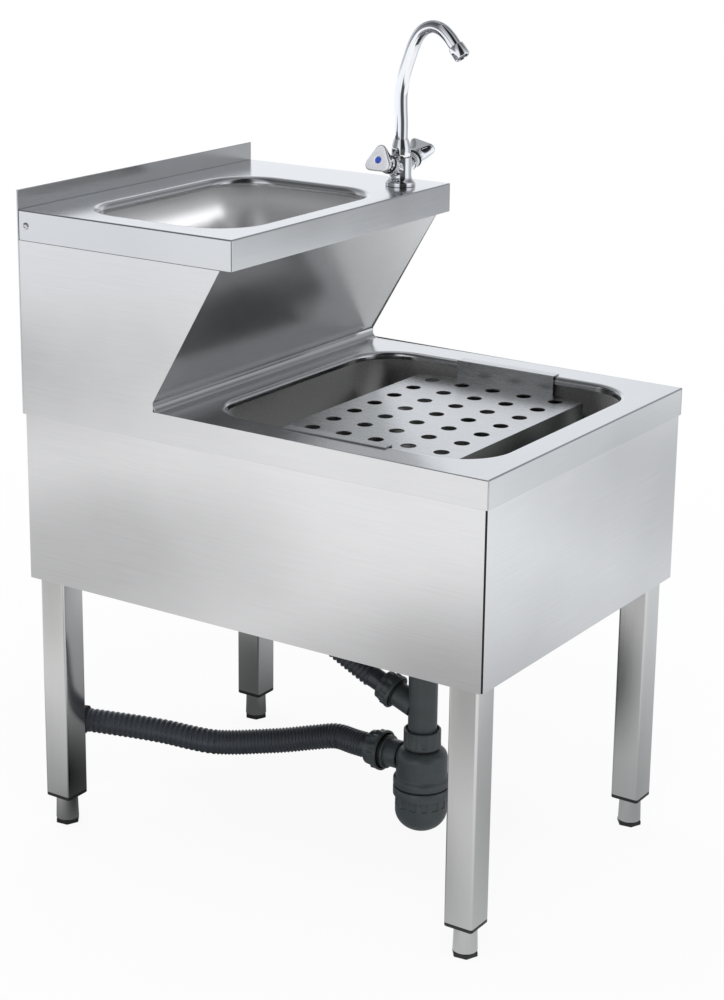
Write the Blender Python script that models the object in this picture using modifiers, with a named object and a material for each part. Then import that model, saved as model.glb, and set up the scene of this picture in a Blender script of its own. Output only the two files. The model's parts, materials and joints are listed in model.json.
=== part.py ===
"""Hand wash sink: a stainless steel unit on four legs, with a small hand basin and its mixer tap above and
behind a larger bucket basin, which has a lift-out grate. Both basins drain into one bottle trap.

Metres, +Z up. The floor is z = 0, the front faces -Y, and x = 0, y = 0 is the middle of the unit.
"""

import math

import bmesh
import bpy
from mathutils import Matrix, Vector

# The whole unit
WIDTH = 0.500
DEPTH = 0.700
SHELF_HEIGHT = 0.850
WORKTOP_HEIGHT = 0.617
APRON_BOTTOM = 0.356
GAP = 0.0003
CUT_OVERRUN = 0.004
MERGE = 0.000001

# Sheet metal
SHEET = 0.0015
BOWL_WALL = 0.0012
BACK_SHEET = 0.0024
BEND = 0.002
BEND_STEPS = 3

# Lower worktop, its upstand at the back, and the bucket basin under it
LIP = 0.036
COVE_RADIUS = 0.010
COVE_RISE = 0.013
BUCKET_SIDE_LAND = 0.050
BUCKET_CORNER = 0.065
BUCKET_DEPTH = 0.250
BUCKET_FRONT_LAND = 0.040
BUCKET_BACK_LAND = 0.043
BUCKET_RIM = 0.006
BUCKET_RIM_DROP = 0.010
BUCKET_DRAFT = 0.008
BUCKET_FLOOR_RADIUS = 0.045
BUCKET_FALL = 0.004
BUCKET_WASTE_FORWARD = 0.006

# Upper worktop, called the shelf here, with the hand basin under it
SHELF_DEPTH = 0.340
SHELF_OVERHANG = 0.123
SHELF_LIP = 0.039
UPSTAND = 0.025
HAND_LENGTH = 0.240
HAND_CORNER = 0.065
HAND_DEPTH = 0.150
HAND_LEFT_LAND = 0.045
HAND_RIGHT_LAND = 0.115
HAND_FRONT_LAND = 0.035
HAND_RIM = 0.009
HAND_RIM_DROP = 0.012
HAND_DRAFT = 0.024
HAND_CURVE_WIDTH = 0.055
HAND_CURVE_HEIGHT = 0.075
HAND_FALL = 0.003

# Riser: the slanted panel starts at the upstand and ends behind the shelf's front lip
PANEL_SHEET = 0.0012
PANEL_LAP = 0.008
PANEL_TOP_SETBACK = 0.0175

# Aprons
APRON_FLANGE = 0.015

# Legs, rails and feet
LEG_SIDE = 0.040
LEG_WALL = 0.0015
LEG_CORNER = 0.003
LEG_INSET_X = 0.011
LEG_INSET_Y = 0.0125
LEG_BOTTOM = 0.045
ANGLE_SIDE = 0.022
ANGLE_WALL = 0.002
INSERT_FLANGE = 0.005
INSERT_PLUG = 0.020
STUD_RADIUS = 0.005
STUD_CLEARANCE = 0.0005
STUD_LENGTH = 0.045
SLEEVE_TOP_RADIUS = 0.0145
SLEEVE_BOTTOM_RADIUS = 0.0155
PAD_RADIUS = 0.0170
PAD_HEIGHT = 0.0062
PAD_TURN = math.radians(37)

# The screw at the back of the shelf's left lip
SCREW_HEAD_RADIUS = 0.0045
SCREW_HEAD_HEIGHT = 0.0022
SCREW_SHANK_RADIUS = 0.002
SCREW_SHANK_LENGTH = 0.008
SCREW_FROM_BACK = 0.015
SCREW_BELOW_TOP = 0.020

# Grate
GRATE_BELOW_WORKTOP = 0.023
GRATE_SIDE_CLEARANCE = 0.0015
GRATE_LENGTH = 0.254
GRATE_STRAIGHT_LENGTH = 0.148
GRATE_END_INSET = 0.014
GRATE_LIP = 0.016
GRATE_END_FOLD = 0.028
GRATE_CENTRE_SHIFT = -0.003
HOLE_RADIUS = 0.010
HOLE_FROM_SIDE = 0.03075
HOLES_ACROSS = 8
HOLES_ALONG = 5
HOLE_SIDES = 10

# Wastes
WASTE_HOLE_RADIUS = 0.027
WASTE_FLANGE_RADIUS = 0.034
WASTE_FLANGE_THICKNESS = 0.002
WASTE_SKIRT_RADIUS = 0.0255
WASTE_SKIRT_LENGTH = 0.012
WASTE_SKIRT_WALL = 0.0015
STRAINER_HOLE_RADIUS = 0.0050
STRAINER_HOLE_SIDES = 6
STRAINER_RING_RADIUS = 0.0155
STRAINER_HOLES = 6
STRAINER_TURN_SHARE = 0.37
WASTE_BODY_WALL = 0.003
WASTE_BODY_DEPTH = 0.021

# Pipes, nuts and the trap
PIPE_RADIUS = 0.0195
PIPE_WALL = 0.002
SOCKET_RADIUS = 0.024
SOCKET_LENGTH = 0.030
DIP_BELOW_SEAL = 0.025
TRAP_INLET_TOP = 0.167
INLET_NUT_RADIUS = 0.0253
INLET_NUT_HEIGHT = 0.0245
INLET_NUT_WALL = 0.0028
TRAP_RADIUS = 0.0345
TRAP_WALL = 0.003
TRAP_SHOULDER_RADIUS = 0.012
TRAP_FLANGE_RADIUS = 0.038
TRAP_FLANGE_HEIGHT = 0.0085
TRAP_FLANGE_BOTTOM = 0.089
CUP_SEAL = 0.0022
CUP_SEAL_WIDTH = 0.005
CUP_COLLAR_HEIGHT = 0.0165
CUP_RADIUS = 0.0350
CUP_WALL = 0.003
CUP_DOME_CENTRE = 0.0515
CUP_DOME_HEIGHT = 0.029
OUTLET_HEIGHT = 0.120
OUTLET_RADIUS = 0.019
OUTLET_BORE = 0.0155
OUTLET_REACH = 0.068
OUTLET_COLLAR_RADIUS = 0.023
OUTLET_COLLAR_START = 0.0540
OUTLET_COLLAR_LENGTH = 0.0025
OUTLET_NUT_START = 0.058
OUTLET_NUT_RADIUS = 0.0275
OUTLET_NUT_LENGTH = 0.023
NUT_WALL = 0.003

# Branch of the tailpipe, which the hand basin's hose runs into
BRANCH_HEIGHT = 0.192
BRANCH_SLOPE = math.radians(20.8)
BRANCH_RADIUS = 0.017
BRANCH_BORE = 0.0135
BRANCH_REACH = 0.054
BRANCH_NUT_START = 0.0445
BRANCH_NUT_RADIUS = 0.0238
BRANCH_NUT_LENGTH = 0.0225
HAND_SPIGOT_LENGTH = 0.016

# Hoses: the radii at a rib's crest, between ribs, of the smooth cuff and of the bore
HOSE_CREST = 0.0175
HOSE_FAR_CREST = 0.0165
HOSE_RIB_DEPTH = 0.0026
HOSE_CUFF = 0.016
HOSE_BORE = 0.0115
HOSE_COLLAR = 0.0182
HOSE_COLLAR_LENGTH = 0.003
HOSE_CUFF_END = 0.0905
HOSE_STRAIGHT_END = 0.106
TIGHT_RIBS = 45
TIGHT_PITCH = 0.0047
LOOSE_RIBS = 25
BRANCH_CREST = 0.0160
BRANCH_RIB_DEPTH = 0.0024
BRANCH_CUFF = 0.014
BRANCH_HOSE_BORE = 0.0105
BRANCH_COLLAR = 0.0163
BRANCH_CUFF_END = 0.085
BRANCH_SHOWN_RIBS = 10
BRANCH_SHOWN_PITCH = 0.0068
BRANCH_HIDDEN_RIBS = 28
HOSE_BORE_POINTS = 26
CONNECTOR_COLLAR_RADIUS = 0.0195
CONNECTOR_COLLAR_LENGTH = 0.012
CONNECTOR_RADIUS = 0.0165
CONNECTOR_LENGTH = 0.038
CONNECTOR_TAPER = 0.004

# The drain hose's route, chosen by hand, from the end of its cuff to the wall
DRAIN_ROUTE = [
    (0.0000, 0.020, 0.1210),
    (-0.0110, 0.046, 0.1170),
    (-0.0350, 0.079, 0.1130),
    (-0.0560, 0.108, 0.1110),
    (-0.0770, 0.136, 0.1100),
    (-0.0930, 0.162, 0.1102),
    (-0.1030, 0.193, 0.1120),
    (-0.1120, 0.229, 0.1145),
    (-0.1260, 0.268, 0.1170),
    (-0.1410, 0.306, 0.1190),
    (-0.1520, 0.336, 0.1200),
]

# The branch hose's route, chosen by hand as shares of the way between its straight ends
BRANCH_ROUTE_SHARES = [
    (0.06, 0.33, 0.09),
    (0.26, 0.56, 0.17),
    (0.57, 0.77, 0.30),
    (0.86, 0.92, 0.49),
    (0.98, 0.99, 0.72),
]

# Tap
TAP_FROM_RIGHT = 0.057
TAP_FROM_FRONT = 0.045
TAP_BASE_RADIUS = 0.0205
TAP_BASE_HEIGHT = 0.004
TAP_BODY_RADIUS = 0.015
TAP_FLARE_HEIGHT = 0.007
TAP_BODY_HEIGHT = 0.039
TAP_SHANK_RADIUS = 0.0135
TAP_HOLE_CLEARANCE = 0.001
TAP_SHANK_LENGTH = 0.030
TAP_NUT_RADIUS = 0.021
TAP_NUT_HEIGHT = 0.008
TAIL_RADIUS = 0.005
TAIL_WALL = 0.001
TAIL_SPACING = 0.014
TAIL_REACH = 0.075
TAIL_ABOVE_WORKTOP = 0.105
TAIL_PATH_SHARES = [(0.0, 0.20), (0.20, 0.47), (0.56, 0.80), (1.0, 1.0)]
INLET_PLUG = 0.008
SPOUT_RADIUS = 0.0091
SPOUT_WALL = 0.0015
SPOUT_NUT_HEIGHT = 0.024
SPOUT_NUT_RADIUS = 0.0135
SPOUT_NUT_TOP_RADIUS = 0.0103
NUT_SHOULDER_SHARE = 0.55
SPOUT_REACH = 0.0965
SPOUT_RISE = 0.1765
SPOUT_PATH_SHARES = [
    (0.000, 0.12),
    (0.000, 0.26),
    (-0.012, 0.38),
    (-0.010, 0.49),
    (0.035, 0.62),
    (0.115, 0.75),
    (0.210, 0.88),
    (0.325, 0.965),
    (0.480, 1.000),
    (0.625, 0.983),
    (0.750, 0.932),
    (0.875, 0.852),
]
AERATOR_RADIUS = 0.0115
AERATOR_LENGTH = 0.018
AERATOR_BORE = 0.0080
AERATOR_SOCKET = 0.004

# Valves and handles, on axes that rise from the body to either side
VALVE_HEIGHT = 0.021
VALVE_SLOPE = math.radians(20.0)
PORT_RADIUS = 0.0110
PORT_REACH = 0.0205
BONNET_RADIUS = 0.0118
BONNET_END = 0.031
HANDLE_SEAL_RADIUS = 0.0112
HANDLE_SEAL_LENGTH = 0.0032
SPINDLE_RADIUS = 0.004
SPINDLE_CLEARANCE = 0.0004
SPINDLE_REACH = 0.046
HANDLE_STEM_RADIUS = 0.0118
HANDLE_LENGTH = 0.0250
HANDLE_REACH = 0.0212
HANDLE_WAIST = 0.0138
HANDLE_REST_TURNS = {"cold": math.radians(90.0), "hot": math.radians(45.0)}
HANDLE_STEPS = 24
HANDLE_RING_SHARES = [
    (0.18, 0.56, 0.81),
    (0.50, 0.76, 0.88),
    (0.80, 0.96, 0.98),
    (0.92, 1.00, 1.00),
    (1.00, 0.91, 0.93),
]
INDEX_RADIUS = 0.0047
INDEX_HEIGHT = 0.0014
INDEX_RECESS = 0.0010

# How finely round shapes are cut up
CORNER_STEPS = 4
TUBE_CORNER_STEPS = 2
ROLL_STEPS = 4
TURN_STEPS = 14
FINE_TURN_STEPS = 18
SMALL_TURN_STEPS = 10
HOSE_SIDES = 8
TAIL_SIDES = 6
TUBE_SIDES = 10

# Worked out from the sizes above
HALF_WIDTH = WIDTH / 2
HALF_DEPTH = DEPTH / 2
INSIDE_X = HALF_WIDTH - SHEET - GAP
BACK_INSIDE_Y = HALF_DEPTH - BACK_SHEET - GAP
WORKTOP_UNDERSIDE = WORKTOP_HEIGHT - SHEET
LIP_BOTTOM = WORKTOP_HEIGHT - LIP
SHELF_UNDERSIDE = SHELF_HEIGHT - SHEET
SHELF_LIP_BOTTOM = SHELF_HEIGHT - SHELF_LIP
RISER_DEPTH = SHELF_DEPTH - SHELF_OVERHANG
RISER_FOOT_Y = HALF_DEPTH - RISER_DEPTH
SHELF_FRONT_Y = HALF_DEPTH - SHELF_DEPTH
BUCKET_WIDTH = WIDTH - 2 * BUCKET_SIDE_LAND
BUCKET_LENGTH = DEPTH - RISER_DEPTH - BUCKET_FRONT_LAND - BUCKET_BACK_LAND
BUCKET_Y = -HALF_DEPTH + BUCKET_FRONT_LAND + BUCKET_LENGTH / 2
BUCKET_FLOOR = WORKTOP_HEIGHT - BUCKET_DEPTH
HAND_WIDTH = WIDTH - HAND_LEFT_LAND - HAND_RIGHT_LAND
HAND_X = -HALF_WIDTH + HAND_LEFT_LAND + HAND_WIDTH / 2
HAND_Y = SHELF_FRONT_Y + HAND_FRONT_LAND + HAND_LENGTH / 2
HAND_FLOOR = SHELF_HEIGHT - HAND_DEPTH
LEG_X = HALF_WIDTH - LEG_INSET_X - LEG_SIDE / 2
LEG_Y = HALF_DEPTH - LEG_INSET_Y - LEG_SIDE / 2
LEG_TOP = WORKTOP_UNDERSIDE - GAP - ANGLE_WALL - GAP
APRON_OUTSIDE_X = INSIDE_X
APRON_OUTSIDE_Y = HALF_DEPTH - SHEET - GAP
APRON_TOP = WORKTOP_UNDERSIDE - GAP
PANEL_TOP_Y = SHELF_FRONT_Y + PANEL_TOP_SETBACK
CUP_SEAL_BOTTOM = TRAP_FLANGE_BOTTOM - GAP - CUP_SEAL
CUP_TOP = CUP_SEAL_BOTTOM - GAP
TRAP_Y = BUCKET_Y - BUCKET_WASTE_FORWARD
BRANCH_DIRECTION = Vector((0, math.cos(BRANCH_SLOPE), math.sin(BRANCH_SLOPE)))
SCREW_PLACE = Vector((-HALF_WIDTH, HALF_DEPTH - SCREW_FROM_BACK, SHELF_HEIGHT - SCREW_BELOW_TOP))
TAP_X = HALF_WIDTH - TAP_FROM_RIGHT
TAP_Y = SHELF_FRONT_Y + TAP_FROM_FRONT
TAP_SEAT = SHELF_HEIGHT + GAP
GRATE_SIDE_X = BUCKET_WIDTH / 2 - GRATE_SIDE_CLEARANCE - SHEET
HOLE_PITCH = 2 * (GRATE_SIDE_X - HOLE_FROM_SIDE) / (HOLES_ACROSS - 1)
LEGS = {
    "front_left": (-1, -1),
    "front_right": (1, -1),
    "back_left": (-1, 1),
    "back_right": (1, 1),
}


def make_collection(name):
    collection = bpy.data.collections.new(name)
    bpy.context.scene.collection.children.link(collection)
    return collection


def make_material(name, colour, metallic, roughness):
    material = bpy.data.materials.new(name)
    material.use_nodes = True
    shader = material.node_tree.nodes["Principled BSDF"]
    shader.inputs["Base Color"].default_value = (*colour, 1.0)
    shader.inputs["Metallic"].default_value = metallic
    shader.inputs["Roughness"].default_value = roughness
    material.diffuse_color = (*colour, 1.0)
    return material


def add_object(name, data, material):
    """An object in the parts collection, or a hidden cutter where material is None."""
    obj = bpy.data.objects.new(name, data)
    if material is None:
        CUTTERS.objects.link(obj)
        obj.hide_render = True
        obj.display_type = "WIRE"
    else:
        PARTS.objects.link(obj)
        data.materials.append(material)
    return obj


def mesh_from(bm, name):
    mesh = bpy.data.meshes.new(name)
    bm.to_mesh(mesh)
    bm.free()
    mesh.shade_smooth()
    mesh.set_sharp_from_angle(angle=math.radians(35))
    return mesh


def solidify(obj, thickness):
    """Thickens a surface on the side that its faces turn away from."""
    modifier = obj.modifiers.new("Thickness", "SOLIDIFY")
    modifier.thickness = thickness
    modifier.offset = -1
    modifier.use_even_offset = True
    modifier.use_quality_normals = True
    return modifier


def boolean(obj, other, operation="DIFFERENCE"):
    modifier = obj.modifiers.new(other.name, "BOOLEAN")
    modifier.operation = operation
    modifier.object = other
    modifier.solver = "EXACT"
    return modifier


def evaluated_mesh(obj):
    """The object's mesh as its modifiers leave it, with its loose caps and seams joined."""
    bpy.context.view_layer.update()
    graph = bpy.context.evaluated_depsgraph_get()
    mesh = bpy.data.meshes.new_from_object(obj.evaluated_get(graph))
    bm = bmesh.new()
    bm.from_mesh(mesh)
    bmesh.ops.remove_doubles(bm, verts=bm.verts, dist=MERGE)
    bm.to_mesh(mesh)
    bm.free()
    return mesh


def arc(centre, radius, start, end, steps):
    """Points on an arc in a plane, from one angle in degrees to another."""
    points = []
    for step in range(steps + 1):
        angle = math.radians(start + (end - start) * step / steps)
        points.append((centre[0] + radius * math.cos(angle), centre[1] + radius * math.sin(angle)))
    return points


def rounded_ring(width, length, radius, z, centre=(0.0, 0.0), steps=CORNER_STEPS):
    """A ring of points round a rectangle with round corners, anticlockwise from above."""
    ring = []
    across = width / 2 - radius
    along = length / 2 - radius
    for quarter, (side_x, side_y) in enumerate(((1, 1), (-1, 1), (-1, -1), (1, -1))):
        corner = (centre[0] + side_x * across, centre[1] + side_y * along)
        for x, y in arc(corner, radius, 90 * quarter, 90 * quarter + 90, steps):
            ring.append(Vector((x, y, z)))
    return ring


def circle_ring(radius, z, centre=(0.0, 0.0), steps=CORNER_STEPS):
    """A circle with as many points as rounded_ring gives, so that the two can be joined."""
    return rounded_ring(radius * 2, radius * 2, radius, z, centre, steps)


def loft(name, rings, material, closed=False):
    """A surface through rings of points. Rings that run outside to inside, or down a bowl, face upward."""
    bm = bmesh.new()
    rows = [[bm.verts.new(point) for point in ring] for ring in rings]
    pairs = list(zip(rows, rows[1:]))
    if closed:
        pairs.append((rows[-1], rows[0]))
    for row, next_row in pairs:
        for index in range(len(row)):
            after = (index + 1) % len(row)
            bm.faces.new((row[index], row[after], next_row[after], next_row[index]))
    bmesh.ops.remove_doubles(bm, verts=bm.verts, dist=MERGE)
    return add_object(name, mesh_from(bm, name), material)


def turned(name, profile, material, closed=True, steps=TURN_STEPS):
    """A turned solid: profile is (radius, height) points, down the outer side and up the inner side."""
    bm = bmesh.new()
    verts = [bm.verts.new((radius, 0, height)) for radius, height in profile]
    for first, second in zip(verts, verts[1:]):
        bm.edges.new((first, second))
    if closed:
        bm.edges.new((verts[-1], verts[0]))
    mesh = bpy.data.meshes.new(name)
    bm.to_mesh(mesh)
    bm.free()
    obj = add_object(name, mesh, material)
    screw = obj.modifiers.new("Turn", "SCREW")
    screw.steps = steps
    screw.render_steps = steps
    screw.use_merge_vertices = True
    screw.merge_threshold = MERGE
    screw.use_smooth_shade = True
    return obj


def rod(name, radius, start, end, material=None, sides=TURN_STEPS):
    """A plain cylinder from start to end along its own Z."""
    return turned(name, [(0, end), (radius, end), (radius, start), (0, start)], material, False, sides)


def aim(obj, place, direction):
    """Puts an object's origin at place, with its Z along direction."""
    obj.location = place
    obj.rotation_mode = "QUATERNION"
    obj.rotation_quaternion = Vector(direction).to_track_quat("Z", "Y")
    return obj


def swept(name, points, radii, material, sides=TUBE_SIDES):
    """A tube along points, with a radius at each, as a mesh that can be cut."""
    curve = bpy.data.curves.new(name, "CURVE")
    curve.dimensions = "3D"
    curve.bevel_depth = max(radii)
    curve.bevel_resolution = sides // 2 - 2
    curve.use_fill_caps = True
    spline = curve.splines.new("POLY")
    spline.points.add(len(points) - 1)
    for spline_point, place, radius in zip(spline.points, points, radii):
        spline_point.co = (*place, 1.0)
        spline_point.radius = radius / max(radii)
    guide = bpy.data.objects.new(name + "_guide", curve)
    CUTTERS.objects.link(guide)
    mesh = evaluated_mesh(guide)
    bpy.data.objects.remove(guide)
    mesh.name = name
    mesh.shade_smooth()
    mesh.set_sharp_from_angle(angle=math.radians(60))
    return add_object(name, mesh, material)


def smooth_route(points, steps):
    """Points on one smooth curve through the given points."""
    points = [Vector(point) for point in points]
    ends = [2 * points[0] - points[1], *points, 2 * points[-1] - points[-2]]
    route = []
    for before, start, end, after in zip(ends, ends[1:], ends[2:], ends[3:]):
        for step in range(steps):
            t = step / steps
            route.append(
                (
                    2 * start
                    + (end - before) * t
                    + (2 * before - 5 * start + 4 * end - after) * t**2
                    + (3 * start - before - 3 * end + after) * t**3
                )
                / 2
            )
    route.append(points[-1])
    return route


def route_length(route):
    return sum((second - first).length for first, second in zip(route, route[1:]))


def along(route, distances):
    """The points at the given distances along a route, which rise from one to the next."""
    places = []
    travelled = 0.0
    index = 0
    for distance in distances:
        while index < len(route) - 2 and travelled + (route[index + 1] - route[index]).length < distance:
            travelled += (route[index + 1] - route[index]).length
            index += 1
        step = route[index + 1] - route[index]
        places.append(route[index] + step * ((distance - travelled) / step.length))
    return places


def bowl_rings(centre, waste, width, length, corner, wall_top, floor, draft, curve_width, curve_height, fall):
    """Rings down a pressed bowl, from under the worktop's rolled rim to the hole for its waste."""
    steps = [(0.0, wall_top)]
    for across, up in arc((0.0, 0.0), 1.0, 180, 270, ROLL_STEPS):
        steps.append((draft + curve_width * (1 + across), floor + fall + curve_height * (1 + up)))
    rings = []
    for inset, height in steps:
        round_corner = corner * (1 - 2 * inset / min(width, length))
        rings.append(rounded_ring(width - 2 * inset, length - 2 * inset, round_corner, height, centre))
    rings.append(circle_ring(WASTE_FLANGE_RADIUS + WASTE_FLANGE_THICKNESS, floor, waste))
    rings.append(circle_ring(WASTE_HOLE_RADIUS, floor, waste))
    return rings


def rim_rings(centre, width, length, corner, rim, drop, top):
    """Rings that roll a worktop's edge down into its opening."""
    rings = []
    for outset, height in arc((rim, top - rim), rim, 90, 180, ROLL_STEPS):
        round_corner = corner + outset
        rings.append(rounded_ring(width + 2 * outset, length + 2 * outset, round_corner, height, centre))
    rings.append(rounded_ring(width, length, corner, top - drop, centre))
    return rings


def fold_edge(bm, on_edge, steps):
    """Extrudes the open edges whose ends all satisfy on_edge, along each step in turn."""
    edges = [edge for edge in bm.edges if edge.is_boundary and all(on_edge(v.co) for v in edge.verts)]
    for step in steps:
        made = bmesh.ops.extrude_edge_only(bm, edges=edges)["geom"]
        verts = [item for item in made if isinstance(item, bmesh.types.BMVert)]
        edges = [item for item in made if isinstance(item, bmesh.types.BMEdge)]
        edges = [edge for edge in edges if all(v in verts for v in edge.verts)]
        bmesh.ops.translate(bm, verts=verts, vec=step)


def face_up(bm, level):
    """Turns all faces of one open sheet the same way, with those that lie at level facing up."""
    bmesh.ops.recalc_face_normals(bm, faces=bm.faces)
    flat = next(face for face in bm.faces if all(abs(v.co.z - level) < MERGE for v in face.verts))
    if flat.normal.z < 0:
        bmesh.ops.reverse_faces(bm, faces=bm.faces)


def bend_steps(radius, forward, turned_to, count):
    """Steps of a quarter bend that leaves along forward and ends along turned_to."""
    points = [
        forward * (radius * math.sin(math.pi / 2 * step / count))
        + turned_to * (radius * (1 - math.cos(math.pi / 2 * step / count)))
        for step in range(count + 1)
    ]
    return [second - first for first, second in zip(points, points[1:])]


def make_lower_worktop():
    """The plate round the bucket basin, with its front lip folded down and its upstand folded up."""
    front = -HALF_DEPTH + BEND
    back = RISER_FOOT_Y - COVE_RADIUS
    middle = (0.0, (front + back) / 2)
    rings = [rounded_ring(2 * INSIDE_X, back - front, 0.0, WORKTOP_HEIGHT, middle)]
    rings += rim_rings(
        (0.0, BUCKET_Y),
        BUCKET_WIDTH,
        BUCKET_LENGTH,
        BUCKET_CORNER,
        BUCKET_RIM,
        BUCKET_RIM_DROP,
        WORKTOP_HEIGHT,
    )
    obj = loft("lower_worktop", rings, STEEL)
    bm = bmesh.new()
    bm.from_mesh(obj.data)
    down = bend_steps(BEND, Vector((0, -1, 0)), Vector((0, 0, -1)), BEND_STEPS)
    down.append(Vector((0, 0, BEND - LIP)))
    fold_edge(bm, lambda place: abs(place.y - front) < MERGE, down)
    up = bend_steps(COVE_RADIUS, Vector((0, 1, 0)), Vector((0, 0, 1)), ROLL_STEPS)
    up.append(Vector((0, 0, COVE_RISE - COVE_RADIUS)))
    fold_edge(bm, lambda place: abs(place.y - back) < MERGE, up)
    face_up(bm, WORKTOP_HEIGHT)
    old = obj.data
    obj.data = mesh_from(bm, "lower_worktop_folded")
    obj.data.materials.append(STEEL)
    bpy.data.meshes.remove(old)
    solidify(obj, SHEET)
    return obj


def make_bucket_basin():
    rings = bowl_rings(
        (0.0, BUCKET_Y),
        (0.0, TRAP_Y),
        BUCKET_WIDTH,
        BUCKET_LENGTH,
        BUCKET_CORNER,
        WORKTOP_HEIGHT - BUCKET_RIM_DROP - GAP,
        BUCKET_FLOOR,
        BUCKET_DRAFT,
        BUCKET_FLOOR_RADIUS,
        BUCKET_FLOOR_RADIUS,
        BUCKET_FALL,
    )
    solidify(loft("bucket_basin", rings, BOWL_STEEL), BOWL_WALL)


def make_upper_worktop():
    """A tray with a lip all round, a rolled opening for the hand basin and a hole for the tap."""
    back = BACK_INSIDE_Y
    length = back - SHELF_FRONT_Y
    middle = (0.0, SHELF_FRONT_Y + length / 2)
    rings = [rounded_ring(WIDTH, length, BEND, SHELF_LIP_BOTTOM, middle)]
    for inset, height in arc((BEND, SHELF_HEIGHT - BEND), BEND, 180, 90, BEND_STEPS):
        round_corner = max(BEND - inset, 0.0)
        rings.append(rounded_ring(WIDTH - 2 * inset, length - 2 * inset, round_corner, height, middle))
    rings += rim_rings(
        (HAND_X, HAND_Y), HAND_WIDTH, HAND_LENGTH, HAND_CORNER, HAND_RIM, HAND_RIM_DROP, SHELF_HEIGHT
    )
    obj = loft("upper_worktop", rings, STEEL)
    solidify(obj, SHEET)
    hole = rod("tap_hole", TAP_SHANK_RADIUS + TAP_HOLE_CLEARANCE, -SHEET - CUT_OVERRUN, CUT_OVERRUN)
    hole.location = (TAP_X, TAP_Y, SHELF_HEIGHT)
    boolean(obj, hole)
    hole = rod("screw_hole", SCREW_SHANK_RADIUS + GAP, -CUT_OVERRUN, CUT_OVERRUN, None, SMALL_TURN_STEPS)
    boolean(obj, aim(hole, SCREW_PLACE, (-1, 0, 0)))


def make_lip_screw():
    """The screw at the back of the shelf's left lip."""
    profile = [
        (0, SCREW_HEAD_HEIGHT + GAP),
        (SCREW_HEAD_RADIUS - SCREW_HEAD_HEIGHT / 2, SCREW_HEAD_HEIGHT + GAP),
        (SCREW_HEAD_RADIUS, SCREW_HEAD_HEIGHT / 2 + GAP),
        (SCREW_HEAD_RADIUS, GAP),
        (SCREW_SHANK_RADIUS, GAP),
        (SCREW_SHANK_RADIUS, -SCREW_SHANK_LENGTH),
        (0, -SCREW_SHANK_LENGTH),
    ]
    screw = turned("lip_screw", profile, STEEL, False, SMALL_TURN_STEPS)
    aim(screw, SCREW_PLACE, (-1, 0, 0))


def make_hand_basin():
    rings = bowl_rings(
        (HAND_X, HAND_Y),
        (HAND_X, HAND_Y),
        HAND_WIDTH,
        HAND_LENGTH,
        HAND_CORNER,
        SHELF_HEIGHT - HAND_RIM_DROP - GAP,
        HAND_FLOOR,
        HAND_DRAFT,
        HAND_CURVE_WIDTH,
        HAND_CURVE_HEIGHT,
        HAND_FALL,
    )
    solidify(loft("hand_basin", rings, BOWL_STEEL), BOWL_WALL)


def make_side_sheets():
    """The riser's sides, each in one piece with the lip along the lower worktop."""
    front = -HALF_DEPTH
    back = BACK_INSIDE_Y
    top = SHELF_LIP_BOTTOM - GAP
    outline = [
        (front, LIP_BOTTOM),
        (back, LIP_BOTTOM),
        (back, top),
        (PANEL_TOP_Y, top),
        (RISER_FOOT_Y, WORKTOP_HEIGHT + COVE_RISE),
        (RISER_FOOT_Y, WORKTOP_HEIGHT),
        (front, WORKTOP_HEIGHT),
    ]
    for name, side in (("left_side_sheet", -1), ("right_side_sheet", 1)):
        curve = bpy.data.curves.new(name, "CURVE")
        curve.dimensions = "2D"
        curve.fill_mode = "BOTH"
        curve.extrude = SHEET / 2
        spline = curve.splines.new("POLY")
        spline.points.add(len(outline) - 1)
        for spline_point, (y, z) in zip(spline.points, outline):
            spline_point.co = (y, z, 0.0, 1.0)
        spline.use_cyclic_u = True
        obj = add_object(name, curve, STEEL)
        obj.location.x = side * (HALF_WIDTH - SHEET / 2)
        obj.rotation_euler = (math.radians(90), 0.0, math.radians(90))


def make_riser_front_panel():
    """The slanted sheet between the two worktops, with a lap behind the upstand and one behind the lip."""
    foot_y = RISER_FOOT_Y + SHEET + GAP
    foot_z = WORKTOP_HEIGHT + COVE_RISE
    profile = [
        (foot_y, foot_z - PANEL_LAP),
        (foot_y, foot_z),
        (PANEL_TOP_Y, SHELF_LIP_BOTTOM),
        (PANEL_TOP_Y, SHELF_UNDERSIDE - GAP),
    ]
    half = INSIDE_X - GAP
    bm = bmesh.new()
    rows = [[bm.verts.new((side * half, y, z)) for side in (-1, 1)] for y, z in profile]
    for (left, right), (next_left, next_right) in zip(rows, rows[1:]):
        bm.faces.new((left, right, next_right, next_left))
    solidify(add_object("riser_front_panel", mesh_from(bm, "riser_front_panel"), PANEL_STEEL), PANEL_SHEET)


def box(name, low, high, material=None):
    """A plain block between two corners."""
    bm = bmesh.new()
    bmesh.ops.create_cube(bm, size=1.0)
    size = [b - a for a, b in zip(low, high)]
    middle = [(a + b) / 2 for a, b in zip(low, high)]
    bmesh.ops.scale(bm, vec=size, verts=bm.verts)
    bmesh.ops.translate(bm, vec=middle, verts=bm.verts)
    mesh = bpy.data.meshes.new(name)
    bm.to_mesh(mesh)
    bm.free()
    return add_object(name, mesh, material)


def make_back_panels():
    """The riser's back, which ends in the upstand, and the apron's back below it."""
    front = HALF_DEPTH - BACK_SHEET
    box(
        "riser_back_panel",
        (-HALF_WIDTH, front, LIP_BOTTOM),
        (HALF_WIDTH, HALF_DEPTH, SHELF_HEIGHT + UPSTAND),
        STEEL,
    )


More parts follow.
